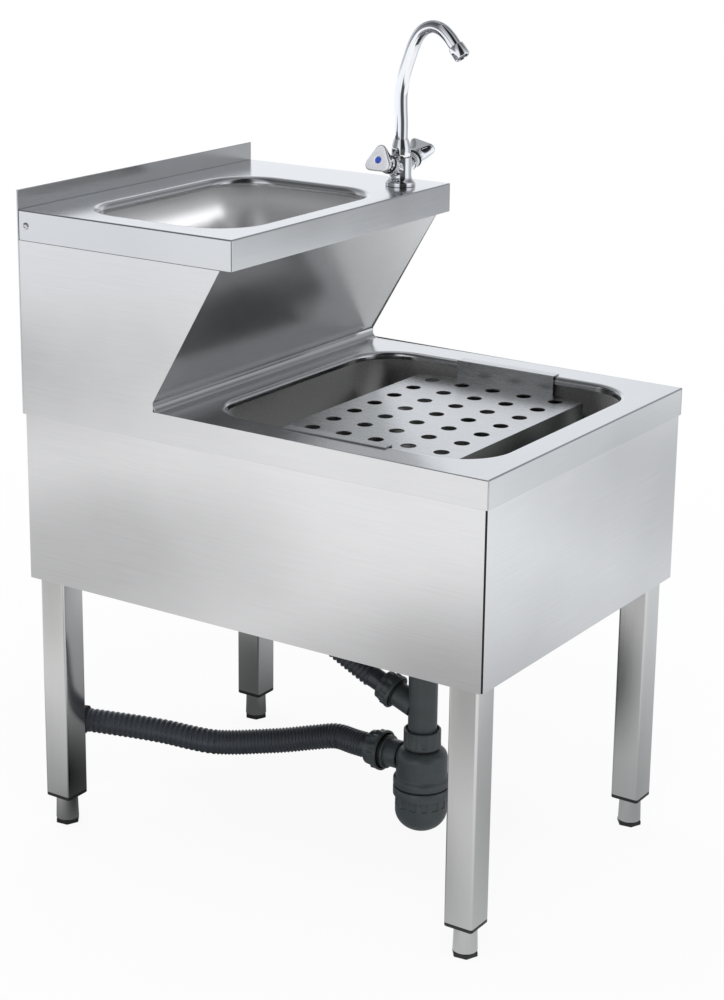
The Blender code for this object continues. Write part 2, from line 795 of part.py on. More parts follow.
def make_apron(name, length, place, turn):
    """A sheet that hangs behind the worktop's lip, with a stiffening flange between the legs."""
    leg_reach = LEG_INSET_X + LEG_SIDE
    half = length / 2
    columns = [-half, leg_reach - half, half - leg_reach, half]
    bm = bmesh.new()
    bottom = [bm.verts.new((x, 0, APRON_BOTTOM)) for x in columns]
    top = [bm.verts.new((x, 0, APRON_TOP)) for x in columns]
    flange = [bm.verts.new((x, APRON_FLANGE, APRON_BOTTOM)) for x in columns[1:3]]
    for index in range(len(columns) - 1):
        bm.faces.new((bottom[index], bottom[index + 1], top[index + 1], top[index]))
    bm.faces.new((flange[0], flange[1], bottom[2], bottom[1]))
    obj = add_object(name, mesh_from(bm, name), APRON_STEEL)
    obj.location = (*place, 0.0)
    obj.rotation_euler.z = math.radians(turn)
    solidify(obj, SHEET)


def make_aprons():
    across = 2 * APRON_OUTSIDE_X
    back_outside = BACK_INSIDE_Y
    front_inside = -APRON_OUTSIDE_Y + SHEET + GAP
    back_inside = back_outside - SHEET - GAP
    side_length = back_inside - front_inside
    side_middle = (back_inside + front_inside) / 2
    make_apron("front_apron", across, (0.0, -APRON_OUTSIDE_Y), 0)
    make_apron("rear_apron", across, (0.0, back_outside), 180)
    make_apron("left_apron", side_length, (-APRON_OUTSIDE_X, side_middle), -90)
    make_apron("right_apron", side_length, (APRON_OUTSIDE_X, side_middle), 90)


def square_tube(name, side, wall, corner, start, end, material):
    """A square tube along its own Z, open at both ends."""
    inner = side - 2 * wall
    inner_corner = corner - wall / 2
    middle = (0.0, 0.0)
    rings = [
        rounded_ring(side, side, corner, start, middle, TUBE_CORNER_STEPS),
        rounded_ring(side, side, corner, end, middle, TUBE_CORNER_STEPS),
        rounded_ring(inner, inner, inner_corner, end, middle, TUBE_CORNER_STEPS),
        rounded_ring(inner, inner, inner_corner, start, middle, TUBE_CORNER_STEPS),
    ]
    return loft(name, rings, material, closed=True)


def make_underframe():
    """Legs with their inserts, sleeves and pads, and the rails between the legs' tops."""
    for corner, (side_x, side_y) in LEGS.items():
        place = (side_x * LEG_X, side_y * LEG_Y)
        leg = square_tube(f"leg_{corner}", LEG_SIDE, LEG_WALL, LEG_CORNER, LEG_BOTTOM, LEG_TOP, LEG_STEEL)
        leg.location = (*place, 0.0)
        make_insert(corner, place)
        make_foot(corner, place)
    make_frame()


def make_insert(corner, place):
    """A black plug in the leg's end, with a bore for the foot's stud."""
    flange_top = LEG_BOTTOM - GAP
    flange_bottom = LEG_BOTTOM - INSERT_FLANGE
    plug = LEG_SIDE - 2 * LEG_WALL - 2 * GAP
    plug_corner = LEG_CORNER - LEG_WALL / 2
    bore = STUD_RADIUS + STUD_CLEARANCE
    plug_top = LEG_BOTTOM + INSERT_PLUG
    middle = (0.0, 0.0)
    rings = [
        rounded_ring(LEG_SIDE, LEG_SIDE, LEG_CORNER, flange_bottom, middle, TUBE_CORNER_STEPS),
        rounded_ring(LEG_SIDE, LEG_SIDE, LEG_CORNER, flange_top, middle, TUBE_CORNER_STEPS),
        rounded_ring(plug, plug, plug_corner, flange_top, middle, TUBE_CORNER_STEPS),
        rounded_ring(plug, plug, plug_corner, plug_top, middle, TUBE_CORNER_STEPS),
        circle_ring(bore, plug_top, middle, TUBE_CORNER_STEPS),
        circle_ring(bore, flange_bottom, middle, TUBE_CORNER_STEPS),
    ]
    insert = loft(f"leg_insert_{corner}", rings, BLACK_PLASTIC, closed=True)
    insert.location = (*place, 0.0)


def make_foot(corner, place):
    """A steel sleeve on a threaded stud, standing on a six-sided pad."""
    sleeve_bottom = PAD_HEIGHT + GAP
    sleeve_top = LEG_BOTTOM - INSERT_FLANGE - GAP
    stud_top = sleeve_top + STUD_LENGTH
    profile = [
        (0, stud_top),
        (STUD_RADIUS, stud_top),
        (STUD_RADIUS, sleeve_top),
        (SLEEVE_TOP_RADIUS, sleeve_top),
        (SLEEVE_BOTTOM_RADIUS, sleeve_bottom),
        (0, sleeve_bottom),
    ]
    sleeve = turned(f"foot_sleeve_{corner}", profile, LEG_STEEL, False, TURN_STEPS)
    sleeve.location = (*place, 0.0)
    bm = bmesh.new()
    bmesh.ops.create_cone(
        bm, cap_ends=True, segments=6, radius1=PAD_RADIUS, radius2=PAD_RADIUS, depth=PAD_HEIGHT
    )
    bmesh.ops.translate(bm, verts=bm.verts, vec=(0, 0, PAD_HEIGHT / 2))
    pad = add_object(f"foot_pad_{corner}", mesh_from(bm, "foot_pad"), BLACK_PLASTIC)
    pad.location = (*place, 0.0)
    pad.rotation_euler.z = PAD_TURN


def make_frame():
    """A welded ring of steel angle that the legs' tops sit in, under the worktop's edges."""
    outer_x = 2 * (LEG_X + LEG_SIDE / 2 + GAP + ANGLE_WALL)
    outer_y = 2 * (LEG_Y + LEG_SIDE / 2 + GAP + ANGLE_WALL)
    top = WORKTOP_UNDERSIDE - GAP
    steps = [
        (0.0, top - ANGLE_SIDE),
        (0.0, top),
        (ANGLE_SIDE, top),
        (ANGLE_SIDE, top - ANGLE_WALL),
        (ANGLE_WALL, top - ANGLE_WALL),
        (ANGLE_WALL, top - ANGLE_SIDE),
    ]
    rings = [rounded_ring(outer_x - 2 * inset, outer_y - 2 * inset, 0.0, height) for inset, height in steps]
    loft("underframe", rings, LEG_STEEL, closed=True)


def make_grate():
    """A perforated plate folded up at its sides, where it hangs on the rim, and down at its ends."""
    level = WORKTOP_HEIGHT - GRATE_BELOW_WORKTOP
    end_x = GRATE_SIDE_X - GRATE_END_INSET
    straight = GRATE_STRAIGHT_LENGTH / 2
    end = GRATE_LENGTH / 2
    half_outline = [(GRATE_SIDE_X, -straight), (GRATE_SIDE_X, straight), (end_x, end)]
    outline = half_outline + [(-x, -y) for x, y in half_outline]
    outline.insert(3, (-end_x, end))
    outline.append((end_x, -end))
    bm = bmesh.new()
    bm.faces.new([bm.verts.new((x, y, level)) for x, y in outline])
    lip_top = WORKTOP_HEIGHT + GAP + SHEET
    for side in (-1, 1):
        rise = [Vector((0, 0, lip_top - level)), Vector((side * GRATE_LIP, 0, 0))]
        fold_edge(bm, lambda place, side=side: abs(place.x - side * GRATE_SIDE_X) < MERGE, rise)
        drop = [Vector((0, 0, -GRATE_END_FOLD))]
        fold_edge(bm, lambda place, side=side: abs(place.y - side * end) < MERGE, drop)
    face_up(bm, level)
    grate = add_object("bucket_grate", mesh_from(bm, "bucket_grate"), GRATE_STEEL)
    grate.location = (0.0, BUCKET_Y + GRATE_CENTRE_SHIFT, 0.0)
    solidify(grate, SHEET)
    holes = bmesh.new()
    for column in range(HOLES_ACROSS):
        for row in range(HOLES_ALONG):
            x = (column - (HOLES_ACROSS - 1) / 2) * HOLE_PITCH
            y = (row - (HOLES_ALONG - 1) / 2) * HOLE_PITCH
            made = bmesh.ops.create_cone(
                holes,
                cap_ends=True,
                segments=HOLE_SIDES,
                radius1=HOLE_RADIUS,
                radius2=HOLE_RADIUS,
                depth=2 * CUT_OVERRUN,
            )
            bmesh.ops.translate(holes, verts=made["verts"], vec=(x, y, level))
    cutter = add_object("grate_holes", mesh_from(holes, "grate_holes"), None)
    cutter.location = grate.location
    boolean(grate, cutter)


def make_waste_flange(name, place, floor):
    """A strainer in the bowl's floor, with a skirt that screws into the body under it."""
    skirt_inner = WASTE_SKIRT_RADIUS - WASTE_SKIRT_WALL
    flange = turned(
        f"{name}_waste_flange",
        [
            (0, GAP + WASTE_FLANGE_THICKNESS),
            (WASTE_FLANGE_RADIUS - WASTE_FLANGE_THICKNESS, GAP + WASTE_FLANGE_THICKNESS),
            (WASTE_FLANGE_RADIUS, GAP),
            (WASTE_SKIRT_RADIUS, GAP),
            (WASTE_SKIRT_RADIUS, -WASTE_SKIRT_LENGTH),
            (skirt_inner, -WASTE_SKIRT_LENGTH),
            (skirt_inner, GAP),
            (0, GAP),
        ],
        BRIGHT_STEEL,
        False,
        FINE_TURN_STEPS,
    )
    flange.location = (*place, floor)
    for index in range(STRAINER_HOLES):
        angle = 2 * math.pi * (index + STRAINER_TURN_SHARE) / STRAINER_HOLES
        x = place[0] + STRAINER_RING_RADIUS * math.cos(angle)
        y = place[1] + STRAINER_RING_RADIUS * math.sin(angle)
        hole = rod(
            f"{name}_strainer_hole_{index}",
            STRAINER_HOLE_RADIUS,
            -CUT_OVERRUN,
            CUT_OVERRUN,
            None,
            STRAINER_HOLE_SIDES,
        )
        hole.location = (x, y, floor)
        boolean(flange, hole)


def make_waste_body(name, place, floor, end_radius, end_bore, end_length):
    """The funnel under a basin. Returns the heights where its cone and its spigot end."""
    body_top = -BOWL_WALL - GAP
    rim_bottom = body_top - WASTE_BODY_WALL
    throat = WASTE_SKIRT_RADIUS + GAP
    throat_end = -WASTE_SKIRT_LENGTH - GAP
    cone_bottom = throat_end - WASTE_BODY_DEPTH
    end = cone_bottom - end_length
    body = turned(
        f"{name}_waste_body",
        [
            (WASTE_FLANGE_RADIUS, body_top),
            (WASTE_FLANGE_RADIUS, rim_bottom),
            (throat + WASTE_BODY_WALL, rim_bottom),
            (throat + WASTE_BODY_WALL, throat_end - WASTE_BODY_WALL),
            (end_radius, cone_bottom),
            (end_radius, end),
            (end_bore, end),
            (end_bore, cone_bottom),
            (throat, throat_end),
            (throat, body_top),
        ],
        GREY_PLASTIC,
        steps=FINE_TURN_STEPS,
    )
    body.location = (*place, floor)
    return floor + cone_bottom, floor + end


def make_tailpipe(top):
    """The pipe from the bucket basin's waste down into the trap, with a branch that slopes up to the back."""
    bottom = CUP_SEAL_BOTTOM - DIP_BELOW_SEAL
    pipe = rod("tailpipe", PIPE_RADIUS, bottom, top, GREY_PLASTIC, FINE_TURN_STEPS)
    pipe.location = (0.0, TRAP_Y, 0.0)
    start = Vector((0.0, TRAP_Y, BRANCH_HEIGHT))
    stub = rod("branch_stub", BRANCH_RADIUS, 0.0, BRANCH_REACH, None, FINE_TURN_STEPS)
    boolean(pipe, aim(stub, start, BRANCH_DIRECTION), "UNION")
    bore = rod("tailpipe_bore", PIPE_RADIUS - PIPE_WALL, bottom - CUT_OVERRUN, top + CUT_OVERRUN)
    bore.location = pipe.location
    boolean(pipe, bore)
    bore = rod("branch_bore", BRANCH_BORE, 0.0, BRANCH_REACH + CUT_OVERRUN)
    boolean(pipe, aim(bore, start, BRANCH_DIRECTION))


def union_nut(name, radius, length, thread, hose, place, direction, steps=FINE_TURN_STEPS):
    """A nut that starts at place and closes round a hose at its far end."""
    profile = [
        (hose, length),
        (radius - NUT_WALL / 2, length),
        (radius, length - NUT_WALL),
        (radius, NUT_WALL / 2),
        (radius - NUT_WALL / 2, 0),
        (thread, 0),
        (thread, length - NUT_WALL),
        (hose, length - NUT_WALL),
    ]
    return aim(turned(name, profile, GREY_PLASTIC, steps=steps), place, direction)


def washer(name, outer, inner, thickness, place, direction):
    profile = [(outer, thickness), (outer, 0), (inner, 0), (inner, thickness)]
    return aim(turned(name, profile, RUBBER), place, direction)


def make_trap():
    """The bottle trap's body, the nuts round its inlet and outlet, and the cup that screws on below."""
    axis = Vector((0.0, TRAP_Y, 0.0))
    neck_radius = INLET_NUT_RADIUS - INLET_NUT_WALL - GAP
    nut_bottom = TRAP_INLET_TOP - INLET_NUT_HEIGHT
    shoulder_top = nut_bottom - GAP
    shoulder_inner = TRAP_RADIUS - TRAP_SHOULDER_RADIUS
    neck_top = TRAP_INLET_TOP - INLET_NUT_WALL - GAP
    flange_top = TRAP_FLANGE_BOTTOM + TRAP_FLANGE_HEIGHT
    body_profile = [(0, neck_top), (neck_radius, neck_top), (neck_radius, shoulder_top)]
    body_profile += arc(
        (shoulder_inner, shoulder_top - TRAP_SHOULDER_RADIUS), TRAP_SHOULDER_RADIUS, 90, 0, ROLL_STEPS
    )
    body_profile += [
        (TRAP_RADIUS, flange_top),
        (TRAP_FLANGE_RADIUS, flange_top),
        (TRAP_FLANGE_RADIUS, TRAP_FLANGE_BOTTOM),
        (0, TRAP_FLANGE_BOTTOM),
    ]
    body = turned("trap_body", body_profile, GREY_PLASTIC, False, FINE_TURN_STEPS)
    body.location = axis
    outlet = Vector((0.0, TRAP_Y, OUTLET_HEIGHT))
    back = Vector((0, 1, 0))
    stub_profile = [
        (0, OUTLET_REACH),
        (OUTLET_RADIUS, OUTLET_REACH),
        (OUTLET_RADIUS, OUTLET_COLLAR_START + OUTLET_COLLAR_LENGTH),
        (OUTLET_COLLAR_RADIUS, OUTLET_COLLAR_START + OUTLET_COLLAR_LENGTH),
        (OUTLET_COLLAR_RADIUS, OUTLET_COLLAR_START),
        (OUTLET_RADIUS, OUTLET_COLLAR_START),
        (OUTLET_RADIUS, 0),
        (0, 0),
    ]
    stub = turned("outlet_stub", stub_profile, None, False, FINE_TURN_STEPS)
    boolean(body, aim(stub, outlet, back), "UNION")
    ceiling = shoulder_top - TRAP_WALL
    cavity_profile = [
        (0, neck_top + CUT_OVERRUN),
        (PIPE_RADIUS + GAP, neck_top + CUT_OVERRUN),
        (PIPE_RADIUS + GAP, ceiling),
        (shoulder_inner, ceiling),
        (TRAP_RADIUS - TRAP_WALL, ceiling - TRAP_SHOULDER_RADIUS + TRAP_WALL),
        (TRAP_RADIUS - TRAP_WALL, TRAP_FLANGE_BOTTOM - CUT_OVERRUN),
        (0, TRAP_FLANGE_BOTTOM - CUT_OVERRUN),
    ]
    cavity = turned("trap_cavity", cavity_profile, None, False, FINE_TURN_STEPS)
    cavity.location = axis
    boolean(body, cavity)
    bore = rod("outlet_bore", OUTLET_BORE, 0.0, OUTLET_REACH + CUT_OVERRUN)
    boolean(body, aim(bore, outlet, back))

    nut_hole = PIPE_RADIUS + GAP
    cap = TRAP_INLET_TOP - INLET_NUT_WALL
    inlet_nut = [
        (nut_hole, TRAP_INLET_TOP),
        (INLET_NUT_RADIUS - INLET_NUT_WALL / 2, TRAP_INLET_TOP),
        (INLET_NUT_RADIUS, cap),
        (INLET_NUT_RADIUS, nut_bottom),
        (neck_radius + GAP, nut_bottom),
        (neck_radius + GAP, cap),
        (nut_hole, cap),
    ]
    turned("trap_inlet_nut", inlet_nut, GREY_PLASTIC, steps=FINE_TURN_STEPS).location = axis
    union_nut(
        "trap_outlet_nut",
        OUTLET_NUT_RADIUS,
        OUTLET_NUT_LENGTH,
        OUTLET_RADIUS + GAP,
        HOSE_CUFF + GAP,
        outlet + back * OUTLET_NUT_START,
        back,
    )
    union_nut(
        "branch_nut",
        BRANCH_NUT_RADIUS,
        BRANCH_NUT_LENGTH,
        BRANCH_RADIUS + GAP,
        BRANCH_CUFF + GAP,
        Vector((0.0, TRAP_Y, BRANCH_HEIGHT)) + BRANCH_DIRECTION * BRANCH_NUT_START,
        BRANCH_DIRECTION,
    )
    make_trap_cup(axis)


def make_trap_cup(axis):
    seal = turned(
        "trap_cup_seal",
        [
            (TRAP_FLANGE_RADIUS, CUP_SEAL_BOTTOM + CUP_SEAL),
            (TRAP_FLANGE_RADIUS, CUP_SEAL_BOTTOM),
            (TRAP_FLANGE_RADIUS - CUP_SEAL_WIDTH, CUP_SEAL_BOTTOM),
            (TRAP_FLANGE_RADIUS - CUP_SEAL_WIDTH, CUP_SEAL_BOTTOM + CUP_SEAL),
        ],
        RUBBER,
        steps=FINE_TURN_STEPS,
    )
    seal.location = axis
    collar_bottom = CUP_TOP - CUP_COLLAR_HEIGHT
    inner = CUP_RADIUS - CUP_WALL
    profile = []
    for radius, height in arc((0.0, 0.0), 1.0, -90, 0, ROLL_STEPS + 1):
        dome = CUP_DOME_HEIGHT - CUP_WALL
        profile.append((max(radius, 0.0) * inner, CUP_DOME_CENTRE + height * dome))
    profile[0] = (0, profile[0][1])
    profile += [
        (inner, CUP_TOP),
        (TRAP_FLANGE_RADIUS, CUP_TOP),
        (TRAP_FLANGE_RADIUS, collar_bottom),
        (CUP_RADIUS, collar_bottom),
    ]
    outer = []
    for radius, height in arc((0.0, 0.0), 1.0, 0, -90, ROLL_STEPS + 1):
        outer.append((max(radius, 0.0) * CUP_RADIUS, CUP_DOME_CENTRE + height * CUP_DOME_HEIGHT))
    outer[-1] = (0, outer[-1][1])
    cup = turned("trap_cup", profile + outer, GREY_PLASTIC, False, FINE_TURN_STEPS)
    cup.location = axis


def rib_stations(start, groups):
    """Distances and crest shares for groups of (count, pitch) ribs: a crest, then the dip after it."""
    stations = []
    distance = start
    for count, pitch in groups:
        for _ in range(count):
            stations.append((distance + pitch / 4, 1))
            stations.append((distance + pitch * 3 / 4, 0))
            distance += pitch
    return stations, distance


def hose(name, route, collar, collar_length, cuff, cuff_end, groups, crests, rib_depth, bore, end_plain):
    """A ribbed hose with a flanged cuff, ribs in groups and a bore. crests are its radii at the two ends."""
    stations, ribs_end = rib_stations(cuff_end, groups)
    total = route_length(route)
    distances = [0.0, collar_length, collar_length + GAP, cuff_end - GAP]
    radii = [collar, collar, cuff, cuff]
    for distance, is_crest in stations:
        share = (distance - cuff_end) / (ribs_end - cuff_end)
        crest = crests[0] + (crests[1] - crests[0]) * share
        distances.append(distance)
        radii.append(crest if is_crest else crest - rib_depth)
    if end_plain:
        distances += [ribs_end, total]
        radii += [cuff, cuff]
    else:
        distances.append(total)
        radii.append(crests[1] - rib_depth)
    obj = swept(name, along(route, distances), radii, HOSE_PLASTIC, HOSE_SIDES)
    inside = [total * index / HOSE_BORE_POINTS for index in range(HOSE_BORE_POINTS + 1)]
    places = along(route, inside)
    places[0] += (places[0] - places[1]).normalized() * CUT_OVERRUN
    places[-1] += (places[-1] - places[-2]).normalized() * CUT_OVERRUN
    boolean(obj, swept(name + "_bore", places, [bore] * len(places), None, HOSE_SIDES))
    return obj


def make_drain_hose():
    """The ribbed hose from the trap to the wall, its tight ribs first, and the connector on its end."""
    start = Vector((0.0, TRAP_Y + OUTLET_REACH + GAP, OUTLET_HEIGHT))
    cuff_end = HOSE_CUFF_END - OUTLET_REACH - GAP
    straight_end = start + Vector((0, HOSE_STRAIGHT_END - OUTLET_REACH - GAP, 0))
    curve = smooth_route([start, straight_end, *DRAIN_ROUTE], 8)
    total = route_length(curve)
    loose_pitch = (total - cuff_end - TIGHT_RIBS * TIGHT_PITCH - GAP) / LOOSE_RIBS
    hose(
        "drain_hose",
        curve,
        HOSE_COLLAR,
        HOSE_COLLAR_LENGTH,
        HOSE_CUFF,
        cuff_end,
        [(TIGHT_RIBS, TIGHT_PITCH), (LOOSE_RIBS, loose_pitch)],
        (HOSE_CREST, HOSE_FAR_CREST),
        HOSE_RIB_DEPTH,
        HOSE_BORE,
        False,
    )
    print("drain hose length", round(total, 4), "loose pitch", round(loose_pitch, 5))
    direction = (curve[-1] - curve[-2]).normalized()
    connector = turned(
        "drain_connector",
        [
            (HOSE_BORE, CONNECTOR_LENGTH),
            (CONNECTOR_RADIUS - CONNECTOR_TAPER / 2, CONNECTOR_LENGTH),
            (CONNECTOR_RADIUS, CONNECTOR_COLLAR_LENGTH + CONNECTOR_TAPER),
            (CONNECTOR_COLLAR_RADIUS, CONNECTOR_COLLAR_LENGTH),
            (CONNECTOR_COLLAR_RADIUS, 0),
            (HOSE_BORE, 0),
        ],
        RUBBER,
    )
    aim(connector, curve[-1] + direction * GAP, direction)


def make_branch_hose(spigot_end):
    """The ribbed hose from the tailpipe's branch up behind the bucket basin to the hand basin's waste."""
    axis = Vector((0.0, TRAP_Y, BRANCH_HEIGHT))
    start = axis + BRANCH_DIRECTION * (BRANCH_REACH + GAP)
    cuff_end = BRANCH_CUFF_END - BRANCH_REACH - GAP
    straight_end = start + BRANCH_DIRECTION * cuff_end
    top = Vector((HAND_X, HAND_Y, spigot_end - GAP))
    below = top - Vector((0, 0, BRANCH_NUT_LENGTH + 2 * BRANCH_CREST))
    way = below - straight_end
    route = [
        straight_end + Vector((share_x * way.x, share_y * way.y, share_z * way.z))
        for share_x, share_y, share_z in BRANCH_ROUTE_SHARES
    ]
    curve = smooth_route([start, straight_end, *route, below, top], 8)
    total = route_length(curve)
    plain_end = BRANCH_NUT_LENGTH
    shown = BRANCH_SHOWN_RIBS * BRANCH_SHOWN_PITCH
    hidden_pitch = (total - cuff_end - shown - plain_end) / BRANCH_HIDDEN_RIBS
    hose(
        "branch_hose",
        curve,
        BRANCH_COLLAR,
        HOSE_COLLAR_LENGTH,
        BRANCH_CUFF,
        cuff_end,
        [(BRANCH_SHOWN_RIBS, BRANCH_SHOWN_PITCH), (BRANCH_HIDDEN_RIBS, hidden_pitch)],
        (BRANCH_CREST, BRANCH_CREST),
        BRANCH_RIB_DEPTH,
        BRANCH_HOSE_BORE,
        True,
    )
    print("branch hose length", round(total, 4), "hidden pitch", round(hidden_pitch, 5))


def make_wastes():
    make_waste_flange("hand", (HAND_X, HAND_Y), HAND_FLOOR)
    make_waste_flange("bucket", (0.0, TRAP_Y), BUCKET_FLOOR)
    pipe_top, _ = make_waste_body(
        "bucket", (0.0, TRAP_Y), BUCKET_FLOOR, SOCKET_RADIUS, PIPE_RADIUS + GAP, SOCKET_LENGTH
    )
    _, spigot_end = make_waste_body(
        "hand", (HAND_X, HAND_Y), HAND_FLOOR, BRANCH_RADIUS, BRANCH_BORE, HAND_SPIGOT_LENGTH
    )
    make_tailpipe(pipe_top)
    union_nut(
        "hand_waste_nut",
        BRANCH_NUT_RADIUS,
        BRANCH_NUT_LENGTH,
        BRANCH_RADIUS + GAP,
        BRANCH_CUFF + GAP,
        (HAND_X, HAND_Y, spigot_end + BRANCH_NUT_LENGTH / 2),
        (0, 0, -1),
    )
    make_branch_hose(spigot_end)


def valve_direction(side):
    return Vector((side * math.cos(VALVE_SLOPE), 0, math.sin(VALVE_SLOPE)))


def make_tap_body():
    """The tap's body with its two side ports, its shank through the shelf, and what holds it there."""
    seat = Vector((TAP_X, TAP_Y, TAP_SEAT))
    flare_top = TAP_BASE_HEIGHT + TAP_FLARE_HEIGHT
    body = turned(
        "tap_body",
        [
            (0, TAP_BODY_HEIGHT),
            (TAP_BODY_RADIUS, TAP_BODY_HEIGHT),
            (TAP_BODY_RADIUS, flare_top),
            (TAP_BASE_RADIUS, TAP_BASE_HEIGHT / 2),
            (TAP_BASE_RADIUS, 0),
            (TAP_SHANK_RADIUS, 0),
            (TAP_SHANK_RADIUS, -TAP_SHANK_LENGTH),
            (0, -TAP_SHANK_LENGTH),
        ],
        CHROME,
        False,
        FINE_TURN_STEPS,
    )
    body.location = seat
    for side in (-1, 1):
        port = rod(f"tap_port_{side}", PORT_RADIUS, 0.0, PORT_REACH)
        boolean(body, aim(port, valve_place(), valve_direction(side)), "UNION")
    nut_top = SHELF_UNDERSIDE - GAP
    nut = turned(
        "tap_fixing_nut",
        [
            (TAP_NUT_RADIUS, 0),
            (TAP_NUT_RADIUS, -TAP_NUT_HEIGHT),
            (TAP_SHANK_RADIUS + GAP, -TAP_NUT_HEIGHT),
            (TAP_SHANK_RADIUS + GAP, 0),
        ],
        BRASS,
        steps=FINE_TURN_STEPS,
    )
    nut.location = (TAP_X, TAP_Y, nut_top)


def make_tap_inlets():
    """A brass plug under the tap's shank, with two tails that bend back behind the slanted panel."""
    top = TAP_SEAT - TAP_SHANK_LENGTH - GAP
    drop = top - INLET_PLUG - WORKTOP_HEIGHT - TAIL_ABOVE_WORKTOP
    plug = rod("tap_inlets", TAP_SHANK_RADIUS, -INLET_PLUG, 0.0, BRASS)
    plug.location = (TAP_X, TAP_Y, top)
    bores = []
    for side in (-1, 1):
        x = TAP_X + side * TAIL_SPACING / 2
        points = [Vector((x, TAP_Y, top - INLET_PLUG / 2))]
        for share_y, share_z in TAIL_PATH_SHARES:
            points.append(Vector((x, TAP_Y + share_y * TAIL_REACH, top - INLET_PLUG - share_z * drop)))
        curve = smooth_route(points, 2)
        boolean(plug, swept(f"tail_{side}", curve, [TAIL_RADIUS] * len(curve), None, TAIL_SIDES), "UNION")
        end_cut = curve[-1] + (curve[-1] - curve[-2]).normalized() * CUT_OVERRUN
        inside = [*curve[1:-1], end_cut]
        bore_radii = [TAIL_RADIUS - TAIL_WALL] * len(inside)
        bores.append(swept(f"tail_bore_{side}", inside, bore_radii, None, TAIL_SIDES))
    for bore in bores:
        boolean(plug, bore)


def make_spout():
    """The swan-neck spout, the nut that holds it so that it swings, and the aerator on its end."""
    base = Vector((TAP_X, TAP_Y, TAP_SEAT + TAP_BODY_HEIGHT))
    foot = base + Vector((0, 0, 2 * GAP))
    points = [foot]
    for share_out, share_up in SPOUT_PATH_SHARES:
        points.append(base + Vector((0, -share_out * SPOUT_REACH, share_up * SPOUT_RISE)))
    curve = [place - base for place in smooth_route(points, 2)]
    spout = swept("spout", curve, [SPOUT_RADIUS] * len(curve), CHROME, TUBE_SIDES)
    spout.location = base
    start_cut = curve[0] - Vector((0, 0, CUT_OVERRUN))
    end_cut = curve[-1] + (curve[-1] - curve[-2]).normalized() * CUT_OVERRUN
    inside = [start_cut, *curve[1:-1], end_cut]
    bore = swept("spout_bore", inside, [SPOUT_RADIUS - SPOUT_WALL] * len(inside), None, HOSE_SIDES)
    bore.location = base
    boolean(spout, bore)

    nut_bore = SPOUT_RADIUS + GAP
    nut = turned(
        "spout_nut",
        [
            (SPOUT_NUT_TOP_RADIUS, SPOUT_NUT_HEIGHT),
            (SPOUT_NUT_RADIUS, SPOUT_NUT_HEIGHT * NUT_SHOULDER_SHARE),
            (SPOUT_NUT_RADIUS, GAP),
            (nut_bore, GAP),
            (nut_bore, SPOUT_NUT_HEIGHT),
        ],
        CHROME,
        steps=FINE_TURN_STEPS,
    )
    nut.location = base

    direction = (curve[-1] - curve[-2]).normalized()
    socket = SPOUT_RADIUS + GAP
    aerator = turned(
        "aerator",
        [
            (AERATOR_BORE, AERATOR_LENGTH),
            (AERATOR_RADIUS, AERATOR_LENGTH),
            (AERATOR_RADIUS, 0),
            (socket, 0),
            (socket, AERATOR_SOCKET + GAP),
            (AERATOR_BORE, AERATOR_SOCKET + GAP),
        ],
        CHROME,
    )
    aim(aerator, base + curve[-1] - direction * AERATOR_SOCKET, direction)


def valve_place():
    return Vector((TAP_X, TAP_Y, TAP_SEAT + VALVE_HEIGHT))


def handle_ring(reach, waist, height, turn):
    """A triangle with round corners. reach is its radius at a corner, waist that at the middle of a side."""
    third = 2 * math.pi / 3
    corner = 2 * waist - reach
    offset = reach - corner
    corner_end = math.atan2(corner * math.sin(third / 2), offset + corner * math.cos(third / 2))
    ring = []
    for index in range(HANDLE_STEPS):
        angle = 2 * math.pi * index / HANDLE_STEPS
        away = abs((angle + third / 2) % third - third / 2)
        if away <= corner_end:
            radius = offset * math.cos(away) + math.sqrt(corner**2 - (offset * math.sin(away)) ** 2)
        else:
            radius = waist / math.cos(third / 2 - away)
        ring.append(Vector((radius * math.cos(turn + angle), radius * math.sin(turn + angle), height)))
    return ring


